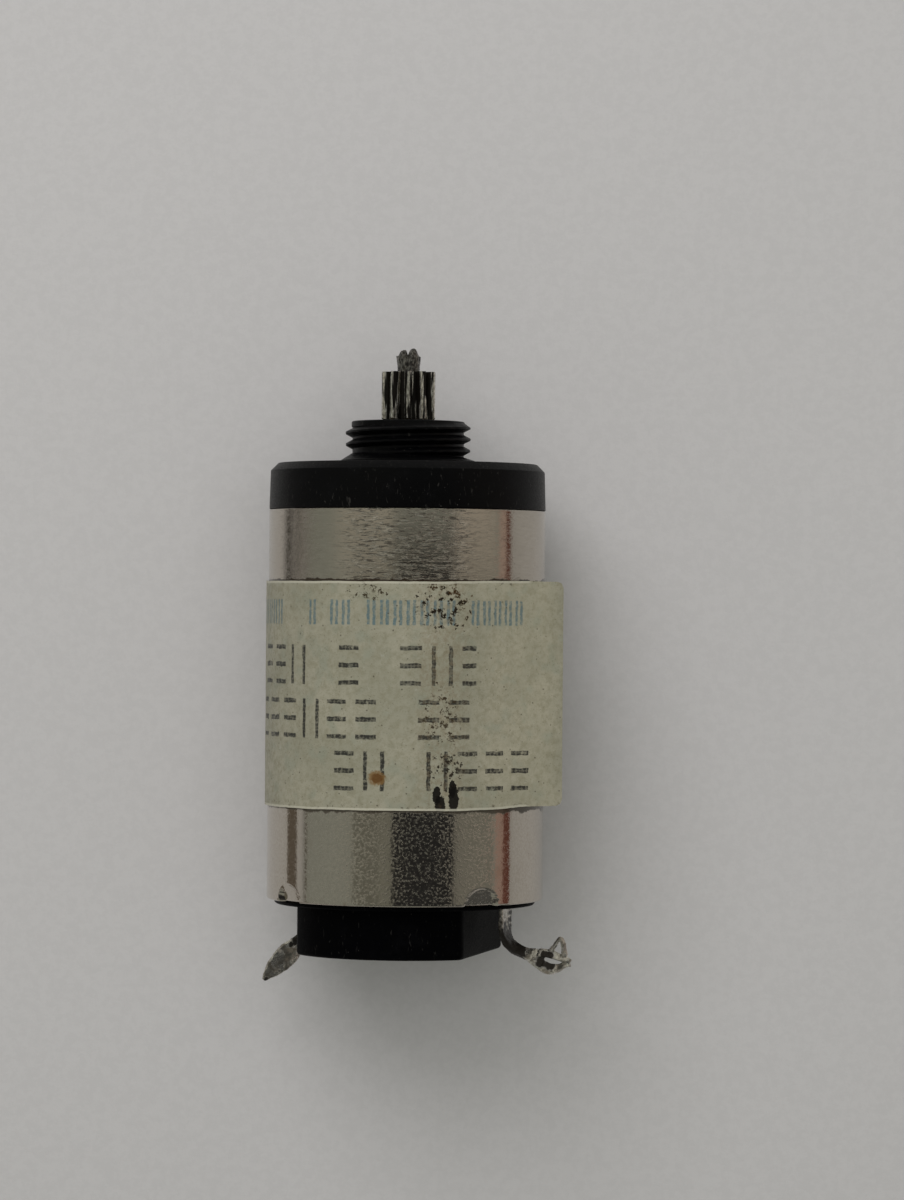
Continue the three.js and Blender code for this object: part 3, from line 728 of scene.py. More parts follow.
def front_cover(material):
    """The flange and its threaded nose in one piece, with a seat for a bush at either end."""
    bush_r = radii("output_bush_front")[1] + SEAM
    collar_r = THREAD_ROOT_R + 0.04
    bore_r = 0.75
    spigot_r = 5.45
    front_seat, rear_seat = 0.3, -1.2
    top = rounded([
        (bush_r, SPIGOT_BACK, 0.05), (bush_r, rear_seat, 0), (bore_r, rear_seat, 0),
        (bore_r, front_seat, 0), (bush_r, front_seat, 0), (bush_r, NOSE_FRONT, 0.05),
        (collar_r, NOSE_FRONT, 0.07), (collar_r, THREAD_LAST - 0.12, 0),
    ])
    nose = [(THREAD_ROOT_R, float(y)) for y in np.arange(THREAD_LAST - 0.14, 0.03, -0.02)]
    rim = rounded([
        (2.95, 0, 0), (BODY_R - 0.05 - FLANGE_CHAMFER, 0, 0.05), (BODY_R - 0.05, -FLANGE_CHAMFER, 0.07),
        (BODY_R, FLANGE_BACK, 0.04), (spigot_r, FLANGE_BACK, 0), (spigot_r, SPIGOT_BACK, 0.12),
        (bush_r, SPIGOT_BACK, 0),
    ])[:-1]
    cover = turned("cover_with_thread", top + nose + rim, 256, thread_radius)
    settle(cover, "housing", material, "front_cover", sharp=40)


def gearhead_tube(material):
    """The plain turned ring behind the flange."""
    inner = radii("gearhead_tube")[0]
    outline = rounded([
        (inner, FLANGE_BACK - 0.01, 0.05), (BODY_R, FLANGE_BACK - 0.01, 0.06),
        (BODY_R, TUBE_BACK, 0.04), (inner, TUBE_BACK, 0.05),
    ])
    tube = turned("turned_tube", outline)
    settle(tube, "housing", material, "gearhead_tube")


def involute(angle):
    return math.tan(angle) - angle


def gear_points(teeth, module, shift, tip_r, root_r, thinning, phase, flank_steps=8):
    """Angles and radii of a spur gear's outline, with rounded roots."""
    pressure = math.radians(20)
    pitch_r = module * teeth / 2
    base_r = pitch_r * math.cos(pressure)
    pitch_half = (math.pi / 2 + 2 * shift * math.tan(pressure)) / teeth - thinning / (2 * pitch_r)
    base_half = pitch_half + involute(pressure)
    start_r = max(base_r, root_r)
    flank = [(root_r, base_half + 0.12 * (math.pi / teeth - base_half))]
    flank.append((root_r + 0.12 * (start_r - root_r), base_half))
    for step in range(flank_steps + 1):
        radius = start_r + (tip_r - start_r) * step / flank_steps
        flank.append((radius, base_half - involute(math.acos(min(1, base_r / radius)))))
    outline = []
    for tooth in range(teeth):
        middle = phase + TURN * tooth / teeth
        outline += [(middle - half, radius) for radius, half in flank]
        outline.append((middle, tip_r))
        outline += [(middle + half, radius) for radius, half in reversed(flank)]
    angles, reach = zip(*outline)
    return np.array(angles), np.array(reach)


def gear(name, points, bore_r, front, back, chamfer, hub=None, centre_x=0.0):
    """A gear with a bore, chamfered tips and an optional (radius, end) hub on either side."""
    angles, reach = points
    tip = reach.max()
    cut = np.minimum(reach, tip - chamfer)
    rings = [
        ring_at(cut, front, angles), ring_at(reach, front - chamfer, angles),
        ring_at(reach, back + chamfer, angles), ring_at(cut, back, angles),
    ]
    ends = [front, back]
    if hub:
        hub_r, end = hub
        side = 0 if end > front else 1
        collar = [ring_at(hub_r, ends[side], angles), ring_at(hub_r, end, angles)]
        ends[side] = end
        rings = collar[::-1] + rings if side == 0 else rings + collar
    rings = [ring_at(bore_r, ends[0], angles), *rings, ring_at(bore_r, ends[1], angles)]
    return loft(name, rings, centre_x=centre_x)


def output_pinion(material):
    """The ten-tooth drive pinion. Its tips stand one module outside its pitch circle."""
    teeth = 10
    module = PINION_R / (teeth / 2 + 1)
    root_r = module * (teeth / 2 - 1.25)
    points = gear_points(teeth, module, 0.15, PINION_R, root_r, 0.01, 0)
    bore = radii("output_pinion")[0]
    pinion = gear("drive_pinion", points, bore, PINION_FRONT, PINION_BACK, 0.03)
    roughen(pinion, 0.35, 0.006, 4.0)
    settle(pinion, "output_drive", material, "output_pinion", sharp=30)


def inner_gears(steel, brass):
    """The two reduction stages, on the CAD's tooth counts and phases."""
    # teeth, module, profile shift, tip and root radius, thinning
    small = (SMALL_TEETH, GEAR_MODULE, 0.5, 0.79, GEAR_MODULE * (SMALL_TEETH / 2 - 0.75), 0.03)
    large_tip = GEAR_MODULE * (LARGE_TEETH / 2 + 0.5)
    large_root = GEAR_MODULE * (LARGE_TEETH / 2 - 1.75)
    large = (LARGE_TEETH, GEAR_MODULE, -0.5, large_tip, large_root, 0.03)
    quarter = math.pi / 2
    gap = math.pi / SMALL_TEETH
    rows = (
        ("output_wheel", large, quarter, 0.0, brass, "gear_brass", "output_drive", 1.05, "front"),
        ("lay_pinion", small, quarter + math.pi + gap, LAY_X, steel, "gear_steel", "lay_gear", 0.45, "back"),
        ("lay_wheel", large, -quarter, LAY_X, brass, "gear_brass", "lay_gear", None, None),
        ("input_pinion", small, quarter + gap, 0.0, steel, "gear_steel", "rotor", None, None),
    )
    faces = {"output_wheel": (-3.3, None), "lay_pinion": (None, -4.38)}
    for node, form, phase, centre_x, material, slot, body, hub_r, side in rows:
        low, high = corners(node)
        front, back = faces.get(node, (None, None))
        front = high.y if front is None else front
        back = low.y if back is None else back
        hub = (hub_r, high.y if side == "front" else low.y) if hub_r else None
        bore = radii(node, centre_x)[0] / math.cos(math.pi / 24)
        made = gear(node + "_cut", gear_points(*form, phase, 5), bore, front, back, 0.02, hub, centre_x)
        settle(made, body, material, node, sharp=30)


def output_shaft(material):
    """The output shaft. Its end stands out of the pinion, flared and staked."""
    stub_base = SHAFT_FRONT - 0.3
    step_r = 0.48
    body_r = 0.6
    flare = 0.05
    rows = [
        (0.0, SHAFT_BACK), (body_r - 0.08, SHAFT_BACK), (body_r, SHAFT_BACK + 0.08),
        (body_r, PINION_BACK - 0.05), (step_r, PINION_BACK - 0.02), (step_r, PINION_FRONT),
    ]
    for step in range(17):
        rise = step / 16
        rows.append((step_r + flare * rise ** 1.5, PINION_FRONT + rise * (stub_base - PINION_FRONT)))
    for inset in (0.02, 0.05, 0.09, 0.14, 0.19, 0.24, 0.29, 0.34, 0.39, 0.44, 0.48, 0.51, 0.53):
        rows.append((0.53 - inset, stub_base + 0.004))
    shaft = turned("drive_shaft", rows, 96, closed=False)
    stake(shaft, stub_base)
    settle(shaft, "output_drive", material, "output_shaft", sharp=55)


def hump(x, z, centre_x, centre_z, half_x, half_z):
    """A flat-topped rise: 1 at its centre, falling to 0 round it."""
    return math.exp(-(((x - centre_x) / half_x) ** 2 + ((z - centre_z) / half_z) ** 2) ** 2)


def stake(shaft, stub_base):
    """Swells the shaft's end unevenly and raises two burrs on it, with a slot between them."""
    for vertex in shaft.data.vertices:
        x, y, z = vertex.co
        if y < PINION_FRONT + 0.02:
            continue
        grain = wander(x * 5, y * 5, z * 5)
        swell = 0.035 * grain + 0.015 * wander(x * 13, y * 11, z * 13)
        out = Vector((x, 0, z))
        if out.length > 0.2:
            vertex.co += out.normalized() * swell * (y - PINION_FRONT) / 0.6
        if y > stub_base - 0.01:
            left = hump(x, z, -0.22, 0.12, 0.17, 0.28)
            right = hump(x, z, 0.17, 0.1, 0.21, 0.3)
            slot = math.exp(-(((x + 0.02) / 0.045) ** 2))
            vertex.co.y += 0.34 * max(0.9 * left, right) - 0.07 * slot + 0.1 * grain


# ---- motor pieces ----


def dimple_radius(radius, y, angles):
    """Presses four half-round dents into the can's rear edge."""
    if radius < BODY_R - 0.3:
        return radius
    quarter = TURN / 4
    turned_by = (angles - FIRST_DIMPLE + quarter / 2) % quarter - quarter / 2
    away = np.hypot(BODY_R * turned_by, y - CAN_BACK) / DIMPLE_R
    deeper = 1 - clamp((y - CAN_BACK) / DIMPLE_R)
    return radius - smooth((1 - away) / 0.12) * (0.035 + DIMPLE_DEPTH * deeper)


def motor_can(material):
    """The plated can, closed in front but for the bearing carrier's hole, with dimples at its rear edge."""
    bore_r = 5.6
    nose_r = radii("bearing_carrier")[1] + SEAM
    inside = CAN_FRONT - 0.7
    front = rounded([
        (nose_r, inside, 0), (nose_r, CAN_FRONT, 0), (BODY_R, CAN_FRONT, 0.05), (BODY_R, CAN_FRONT - 1, 0),
    ])
    end = CAN_BACK + 0.04
    rows = [(BODY_R, float(y)) for y in np.arange(end + 1.0, end + 0.1, -0.03)]
    back = rounded([
        (BODY_R, end + 0.5, 0), (BODY_R, end, 0.09), (bore_r, end, 0.02), (bore_r, inside, 0),
    ])[1:]
    can = turned("plated_can", front + rows + back, 384, dimple_radius)
    settle(can, "housing", material, "motor_can", sharp=40)


def cap_reach(angles, inset):
    """Radius of the rear block's outline at each angle, drawn in by an inset. Corners are eased."""
    outward = angles - (math.pi / 2 - CAP_TILT)
    reach = np.full(len(angles), CAP_R - inset)
    for direction, flat in ((0.0, RIGHT_FLAT), (math.pi, LEFT_FLAT)):
        facing = np.cos(outward - direction)
        limit = np.where(facing > 0.05, (flat - inset) / np.maximum(facing, 0.05), 99.0)
        ease = 0.05 * clamp(1 - np.abs(reach - limit) / 0.2) ** 2
        reach = np.minimum(reach, limit) - ease
    return reach


def end_cap(material):
    """The rear cap: a thin rim and a block with two flats, its edges rounded."""
    rim_front = CAN_BACK + 0.02
    rim_back = rim_front - 0.18
    fillet = 0.16
    angles = cap_angles()
    rim = (
        (0.0, rim_front), (CAP_RIM_R - 0.04, rim_front), (CAP_RIM_R, rim_front - 0.04),
        (CAP_RIM_R, rim_back + 0.05), (CAP_RIM_R - 0.05, rim_back),
    )
    # share of the block's outline, inset, y
    block = [(1, -0.06, rim_back), (1, 0, rim_back - 0.06)]
    block += [(1, 0, y) for y in np.linspace(rim_back - 0.4, CAP_BACK + fillet, 5)]
    for step in range(1, 7):
        around = math.pi / 2 * step / 6
        block.append((1, fillet * (1 - math.cos(around)), CAP_BACK + fillet * (1 - math.sin(around))))
    for share, depth in ((0.9, 0.0), (0.5, 0.0), (0.26, 0.0), (0.24, 0.12), (0.02, 0.12), (0.0, 0.12)):
        block.append((share, fillet, CAP_BACK + depth))
    rings = [ring_at(radius, y, angles) for radius, y in rim]
    rings += [ring_at(share * cap_reach(angles, inset), y, angles) for share, inset, y in block]
    cap = loft("rear_cap", rings, closed=False)
    settle(cap, "housing", material, "end_cap", sharp=38)


def cap_angles():
    """Angles round the cap, closer together at the corners of its flats."""
    angles = set(np.round(even_angles(144), 5))
    middle = math.pi / 2 - CAP_TILT
    for direction, flat in ((middle, RIGHT_FLAT), (middle + math.pi, LEFT_FLAT)):
        half = math.acos(flat / CAP_R)
        for corner in (direction - half, direction + half):
            for offset in np.linspace(-0.04, 0.04, 9):
                angles.add(round((corner + offset) % TURN, 5))
    return np.array(sorted(angles))


# ---- solder tabs ----


def curve_through(points, steps=8):
    """Catmull-Rom points through rows of numbers."""
    rows = np.array(points, float)
    padded = np.vstack([2 * rows[0] - rows[1], rows, 2 * rows[-1] - rows[-2]])
    out = []
    for i in range(1, len(padded) - 2):
        a, b, c, d = padded[i - 1:i + 3]
        for step in range(steps):
            t = step / steps
            out.append(0.5 * (2 * b + (c - a) * t + (2 * a - 5 * b + 4 * c - d) * t * t
                              + (3 * b - a - 3 * c + d) * t ** 3))
    out.append(rows[-1])
    return np.array(out)


def tab_skin(stations):
    """Vertices and faces of a strip through (outward, y, up, twist, width, thickness) stations."""
    rows = curve_through(stations)
    centres = [Vector(row[:3]) for row in rows]
    corner_signs = [(-1, -1), (0, -1.0), (1, -1), (1.08, 0), (1, 1), (0, 1.0), (-1, 1), (-1.08, 0)]
    vertices = []
    for i, row in enumerate(rows):
        before = centres[max(0, i - 1)]
        after = centres[min(len(centres) - 1, i + 1)]
        run = (after - before).normalized()
        across = (Vector((0, 0, 1)) - run * run.z).normalized()
        across = Matrix.Rotation(math.radians(row[3]), 3, run) @ across
        face = run.cross(across)
        for a, b in corner_signs:
            vertices.append(centres[i] + across * a * row[4] / 2 + face * b * row[5] / 2)
    count = len(corner_signs)
    faces = [tuple(range(count)), tuple(range(len(vertices) - count, len(vertices)))[::-1]]
    for i in range(len(rows) - 1):
        for j in range(count):
            k = (j + 1) % count
            faces.append((i * count + j, i * count + k, (i + 1) * count + k, (i + 1) * count + j))
    return vertices, faces


def solder_tab(name, strips, node, material, dark_spots_at, seed):
    """Fuses strips into one tinned tab, lumpy with solder, and marks its near-black spots."""
    vertices = []
    faces = []
    for strip in strips:
        more_vertices, more_faces = tab_skin(strip)
        faces += [tuple(index + len(vertices) for index in face) for face in more_faces]
        vertices += more_vertices
    tab = new_object(name, vertices, faces)
    tab.data.transform(Matrix.Rotation(-CAP_TILT, 4, "Y"))
    fuse = tab.modifiers.new("fuse", "REMESH")
    fuse.mode = "VOXEL"
    fuse.voxel_size = 0.03
    apply_modifiers(tab)
    roughen(tab, 0.3, 0.022, seed)
    ease = tab.modifiers.new("ease", "SMOOTH")
    ease.factor = 0.5
    ease.iterations = 2
    apply_modifiers(tab)
    dark_spots = []
    for vertex in tab.data.vertices:
        x, y, z = vertex.co
        near = min(math.hypot(x - spot_x, y - spot_y) / reach for spot_x, spot_y, reach in dark_spots_at)
        lumps = 0.4 * noise.noise(vertex.co * 3) + 0.3 * noise.noise(vertex.co * 8)
        dark_spots.append(clamp(1.3 - near + lumps))
    store(tab, "dark_spots", dark_spots)
    settle(tab, "housing", material, node, sharp=60)


def apply_modifiers(thing):
    """Puts the modifiers' result into the mesh and removes them."""
    graph = bpy.context.evaluated_depsgraph_get()
    result = bpy.data.meshes.new_from_object(thing.evaluated_get(graph))
    thing.modifiers.clear()
    thing.data = result


def solder_tabs(material):
    """The right tab, bent and torn open into two arms and a prong, and the left tab with a small fold."""
    thick = 0.2
    front = CAN_BACK - 0.02
    right = [
        (4.5, front, 0, 0, 1.6, thick), (4.5, -20.0, 0, 0, 1.6, thick),
        (4.54, -20.35, 0.02, 2, 1.3, 0.22),
        (4.72, -20.68, 0.08, 14, 0.7, 0.3), (5.05, -20.92, 0.18, 40, 0.5, 0.3),
        (5.5, -21.08, 0.3, 62, 0.5, 0.26), (5.95, -21.2, 0.38, 70, 0.62, 0.22),
        (6.35, -21.32, 0.42, 76, 0.8, 0.2),
    ]
    lower_arm = [
        (5.7, -21.34, 0.36, 72, 0.3, 0.2), (6.2, -21.56, 0.4, 76, 0.46, 0.2),
        (6.55, -21.72, 0.4, 70, 0.46, 0.2), (6.95, -21.68, 0.44, 62, 0.34, 0.18),
        (7.2, -21.56, 0.48, 66, 0.26, 0.18), (7.5, -21.44, 0.52, 74, 0.3, 0.16),
    ]
    upper_arm = [
        (6.1, -21.04, 0.44, 74, 0.34, 0.18), (6.55, -21.06, 0.5, 70, 0.34, 0.16),
        (6.95, -21.16, 0.56, 70, 0.32, 0.16), (7.3, -21.28, 0.56, 72, 0.26, 0.16),
        (7.52, -21.4, 0.53, 74, 0.2, 0.14),
    ]
    prong = [
        (6.6, -21.0, 0.5, 60, 0.22, 0.16), (6.82, -20.74, 0.6, 50, 0.16, 0.13),
        (7.03, -20.44, 0.7, 45, 0.16, 0.12), (7.15, -20.38, 0.72, 40, 0.17, 0.12),
        (7.24, -20.68, 0.68, 40, 0.22, 0.12), (7.27, -21.12, 0.58, 50, 0.28, 0.13),
    ]
    left = [
        (-4.5, front, 0, 0, 1.6, thick), (-4.5, -20.4, 0, 0, 1.6, thick),
        (-4.56, -20.7, 0.05, 6, 1.25, thick),
        (-4.78, -21.0, 0.2, 30, 0.95, 0.2), (-5.15, -21.42, 0.45, 60, 0.98, 0.2),
        (-5.55, -21.88, 0.73, 68, 0.8, 0.18), (-5.86, -22.24, 0.92, 70, 0.46, 0.16),
        (-6.06, -22.5, 1.03, 70, 0.14, 0.12),
    ]
    fold = [
        (-4.58, -20.62, 0.4, 40, 0.24, 0.14), (-4.8, -20.84, 0.48, 45, 0.26, 0.14),
        (-5.02, -21.1, 0.5, 50, 0.22, 0.14),
    ]
    # x, y and reach of each near-black spot
    dark_spots_right = [
        (4.25, -20.4, 0.7), (4.45, -20.6, 0.85), (4.65, -20.8, 0.75), (4.85, -20.98, 0.55),
        (4.6, -19.4, 0.13), (4.62, -19.7, 0.15), (6.0, -21.1, 0.2), (6.3, -21.12, 0.18),
        (5.9, -21.4, 0.3), (6.3, -21.55, 0.3), (6.65, -20.8, 0.14),
    ]
    dark_spots_left = [(-4.7, -20.75, 0.3), (-4.95, -20.95, 0.16), (-6.0, -22.45, 0.14)]
    strips = [right, lower_arm, upper_arm, prong]
    solder_tab("tab_right", strips, "terminal_right", material, dark_spots_right, 3.0)
    solder_tab("tab_left", [left, fold], "terminal_left", material, dark_spots_left, 8.0)


# ---- label ----


def label_point(along, lift):
    """Place (x, z) of the label's skin. `along` is measured from +Z, `lift` from the tube's surface."""
    radius = BODY_R + SEAM + lift
    reach = LABEL_LIFT * BODY_R
    if along <= reach:
        angle = along / BODY_R
        return radius * math.sin(angle), radius * math.cos(angle)
    over = along - reach
    away = math.radians(3.0) * over / LABEL_FLAG
    x = radius * math.sin(LABEL_LIFT) + over * math.cos(LABEL_LIFT - away)
    z = radius * math.cos(LABEL_LIFT) - over * math.sin(LABEL_LIFT - away)
    return x, z


def sheet_faces(across, down):
    """Faces of a sheet with two skins of across by down vertices, joined all round their border."""
    def number(side, i, j):
        return (side * across + i) * down + j

    faces = []
    for i in range(across - 1):
        for j in range(down - 1):
            square = ((i, j), (i + 1, j), (i + 1, j + 1), (i, j + 1))
            for side in (0, 1):
                faces.append(tuple(number(side, a, b) for a, b in square))
    border = [(i, 0) for i in range(across - 1)]
    border += [(across - 1, j) for j in range(down - 1)]
    border += [(i, down - 1) for i in range(across - 1, 0, -1)]
    border += [(0, j) for j in range(down - 1, 0, -1)]
    for (i, j), (a, b) in zip(border, border[1:] + border[:1]):
        faces.append((number(0, i, j), number(0, a, b), number(1, a, b), number(1, i, j)))
    return faces


def label(material):
    """The label: bonded round the tubes, its free end standing off, with worn and rounded corners."""
    start = (LABEL_LIFT - LABEL_WRAP) * BODY_R
    end = LABEL_LIFT * BODY_R + LABEL_FLAG
    corner_r = 0.32
    columns = np.linspace(start, end, 300)
    rows = np.concatenate([[0, 0.007], np.linspace(0.013, 0.987, 60), [0.993, 1]])
    points = []
    for lift in (LABEL_THICKNESS, 0.0):
        for along in columns:
            points += [label_vertex(along, share, lift, end, corner_r) for share in rows]
    faces = sheet_faces(len(columns), len(rows))
    sheet = new_object("label_sheet", [point[:3] for point in points], faces, weld=False)
    placed = np.array([point[3] for point in points])
    at_the_cut = np.tile((rows < 0.01) | (rows > 0.99), 2 * len(columns))
    store(sheet, "along", placed)
    # the light cut-edge line, partly a painted highlight, fades out on the free end
    store(sheet, "edge", at_the_cut * (1 - smooth((placed - 5.2) / 1.4)))
    settle(sheet, "housing", material, "label", sharp=50)


def label_vertex(along, share, lift, end, corner_r):
    """One vertex (x, y, z) of the label and its place along the sheet."""
    width = LABEL_FRONT - LABEL_BACK
    from_edge = min(share, 1 - share) * width
    inset = 0.0
    if from_edge < corner_r:
        inset = corner_r - math.sqrt(corner_r ** 2 - (corner_r - from_edge) ** 2)
    near_end = max(0.0, 1 - (end - along) / 1.5)
    placed = along - inset * near_end
    bow = 0.02 * math.exp(-((placed / 4.5) ** 2)) + 0.14 * smooth((placed - 2.5) / 4)
    ragged = 0.03 * wander(placed * 0.8, share * 2, 5)
    ragged += 0.012 * wander(placed * 4, share * 2, 9)
    back = LABEL_BACK + bow + ragged * 0.7
    front = LABEL_FRONT - 0.07 + 0.06 * smooth((placed - 1) / 3) + ragged * 0.6
    y = front + (back - front) * share
    bonded = clamp((LABEL_LIFT * BODY_R - placed) / 1.5)
    ripple = 0.012 * wander(placed * 0.5, y * 0.4, 2)
    curl = (1 - bonded) * 0.05 * wander(placed * 0.3, y * 0.25, 7)
    x, z = label_point(placed, lift + max(0.0, ripple) + curl * clamp(placed - LABEL_LIFT * BODY_R))
    return x, y, z, placed


# ---- round inner pieces ----


def smooth_tube(node, body, material, centre_x=0.0, sides=96, shape=None):
    """A finer copy of a plain CAD tube: the same bore, outside and ends, with eased edges."""
    low, high = corners(node)
    inner, outer = radii(node, centre_x)
    ease = min(0.04, (outer - inner) / 5, (high.y - low.y) / 5)
    outline = rounded([
        (inner, high.y, ease), (outer, high.y, ease), (outer, low.y, ease), (inner, low.y, ease),
    ], 3)
    tube = turned(node + "_fine", outline, sides, shape, centre_x=centre_x)
    settle(tube, body, material, node)


def slotted(radius, y, angles):
    """Cuts the gaps between a commutator's bars."""
    outer = radii("commutator")[1]
    if radius < outer - 0.05:
        return radius
    spacing = TURN / 7
    away = np.abs((angles + spacing / 2) % spacing - spacing / 2) * outer
    return radius - 0.07 * smooth((0.06 - away) / 0.02)


def round_pieces(finishes):
    """Bushes, washers, bearings, magnet, winding and commutator."""
    # node, body, slot, distance of its axis from the shaft's
    rows = (
        ("output_bush_front", "housing", "sintered_bronze", 0.0),
        ("output_bush_rear", "housing", "sintered_bronze", 0.0),
        ("output_washer", "housing", "gear_steel", 0.0),
        ("lay_washer_front", "housing", "gear_steel", LAY_X),
        ("lay_washer_rear", "housing", "gear_steel", LAY_X),
        ("bearing_carrier", "housing", "gear_brass", 0.0),
        ("front_bearing", "housing", "sintered_bronze", 0.0),
        ("rear_bearing", "housing", "sintered_bronze", 0.0),
        ("magnet", "housing", "magnet", 0.0),
        ("rotor_washer_front", "housing", "gear_steel", 0.0),
        ("rotor_washer_rear", "housing", "gear_steel", 0.0),
        ("winding", "rotor", "copper_winding", 0.0),
        ("commutator_plate", "rotor", "resin", 0.0),
    )
    for node, body, slot, centre_x in rows:
        smooth_tube(node, body, finishes[slot], centre_x)
    smooth_tube("commutator", "rotor", finishes["commutator_bars"], 0.0, 224, slotted)


def bar(node, body, outline, material, centre_x=0.0):
    """A solid round bar. Its outline starts and ends on its own axis."""
    made = turned(node + "_fine", rounded(outline, 3), 64, closed=False, centre_x=centre_x)
    settle(made, body, material, node)


def shafts(material):
    """The rotor's stepped shaft and the lay axle, with rounded ends."""
    low, high = corners("rotor_shaft")
    step = corners("input_pinion")[0].y - SEAM
    thin_r = 0.25
    thick_r = radii("rotor_shaft")[1]
    stepped = [
        (0, high.y, 0), (thin_r, high.y, 0.06), (thin_r, step, 0), (thick_r, step, 0.04),
        (thick_r, low.y, 0.08), (0, low.y, 0),
    ]
    bar("rotor_shaft", "rotor", stepped, material)
    low, high = corners("lay_axle")
    axle_r = radii("lay_axle", LAY_X)[1]
    straight = [(0, high.y, 0), (axle_r, high.y, 0.05), (axle_r, low.y, 0.05), (0, low.y, 0)]
    bar("lay_axle", "housing", straight, material, LAY_X)


# ---- camera, light and floor ----


def make_camera():
    """Looks straight down from 194 mm above the shaft axis, turned by half a degree."""
    camera = bpy.data.cameras.new("camera")
    camera.sensor_width = 36
    camera.lens = 133.9
    camera.clip_start = 0.01
    camera.clip_end = 5
    holder = add("camera", camera)
    holder.location = (1.961 * MM, -5.885 * MM, 194 * MM)
    holder.rotation_euler = (0, 0, math.radians(0.456))
    bpy.context.scene.camera = holder


def flat_mesh(name, points, faces, material):
    """A piece of the stage, flat-faced, from points in millimetres."""
    mesh = bpy.data.meshes.new(name)
    mesh.from_pydata([tuple(c * MM for c in point) for point in points], [], faces)
    mesh.materials.append(material)
    thing = add(name, mesh)
    return thing


def make_floor():
    """A plain pale surface under the lowest point of the motor."""
    f = Finish("pale_floor")
    tooth = f.noise(2.4, detail=4, roughness=0.75)
    tone = f.blend(f.noise(0.02, detail=3), (0.635, 0.615, 0.625), (0.66, 0.64, 0.65))
    tone = f.blend(f.band(tooth, 0.4, 0.6, 0.0, 0.1), tone, (0.42, 0.41, 0.415))
    f.set(Base_Color=tone, Roughness=0.85, Specular_IOR_Level=0.2, Normal=f.bump(tooth, 0.015))
    low = cad_box[0].z / MM - 0.015
    size = 700
    points = [(-size, -size, low), (size, -size, low), (size, size, low), (-size, size, low)]
    flat_mesh("floor", points, [(0, 1, 2, 3)], f.material)
    return low


def card(name, points, faces, colour):
    """A plain glowing card that is seen only in reflections."""
    material = bpy.data.materials.new(name)
    material.use_nodes = True
    tree = material.node_tree
    tree.nodes.clear()
    light = tree.nodes.new("ShaderNodeEmission")
    light.inputs["Color"].default_value = (*colour, 1)
    output = tree.nodes.new("ShaderNodeOutputMaterial")
    tree.links.new(light.outputs[0], output.inputs[0])
    made = flat_mesh(name, points, faces, material)
    for ray in ("camera", "diffuse", "shadow", "transmission", "volume_scatter"):
        setattr(made, "visible_" + ray, False)


def arc_card(name, from_degrees, to_degrees, radius, front, back, colour):
    """A card bent round the shaft axis. Angles run from +Z towards +X."""
    steps = 12
    points = []
    for step in range(steps + 1):
        angle = math.radians(from_degrees + (to_degrees - from_degrees) * step / steps)
        x, z = radius * math.sin(angle), radius * math.cos(angle)
        points += [(x, back, z), (x, front, z)]
    faces = [(2 * i, 2 * i + 1, 2 * i + 3, 2 * i + 2) for i in range(steps)]
    card(name, points, faces, colour)


def tilted_card(name, reach, from_degrees, to_degrees, half_width, colour):
    """A card behind the motor's rear end, where its viewer would stand. Angles tilt from +Z towards -Y."""
    points = []
    for degrees in (from_degrees, to_degrees):
        angle = math.radians(degrees)
        y, z = MEETING_Y - reach * math.sin(angle), reach * math.cos(angle)
        points += [(-half_width, y, z), (half_width, y, z)]
    card(name, points, [(0, 1, 3, 2)], colour)


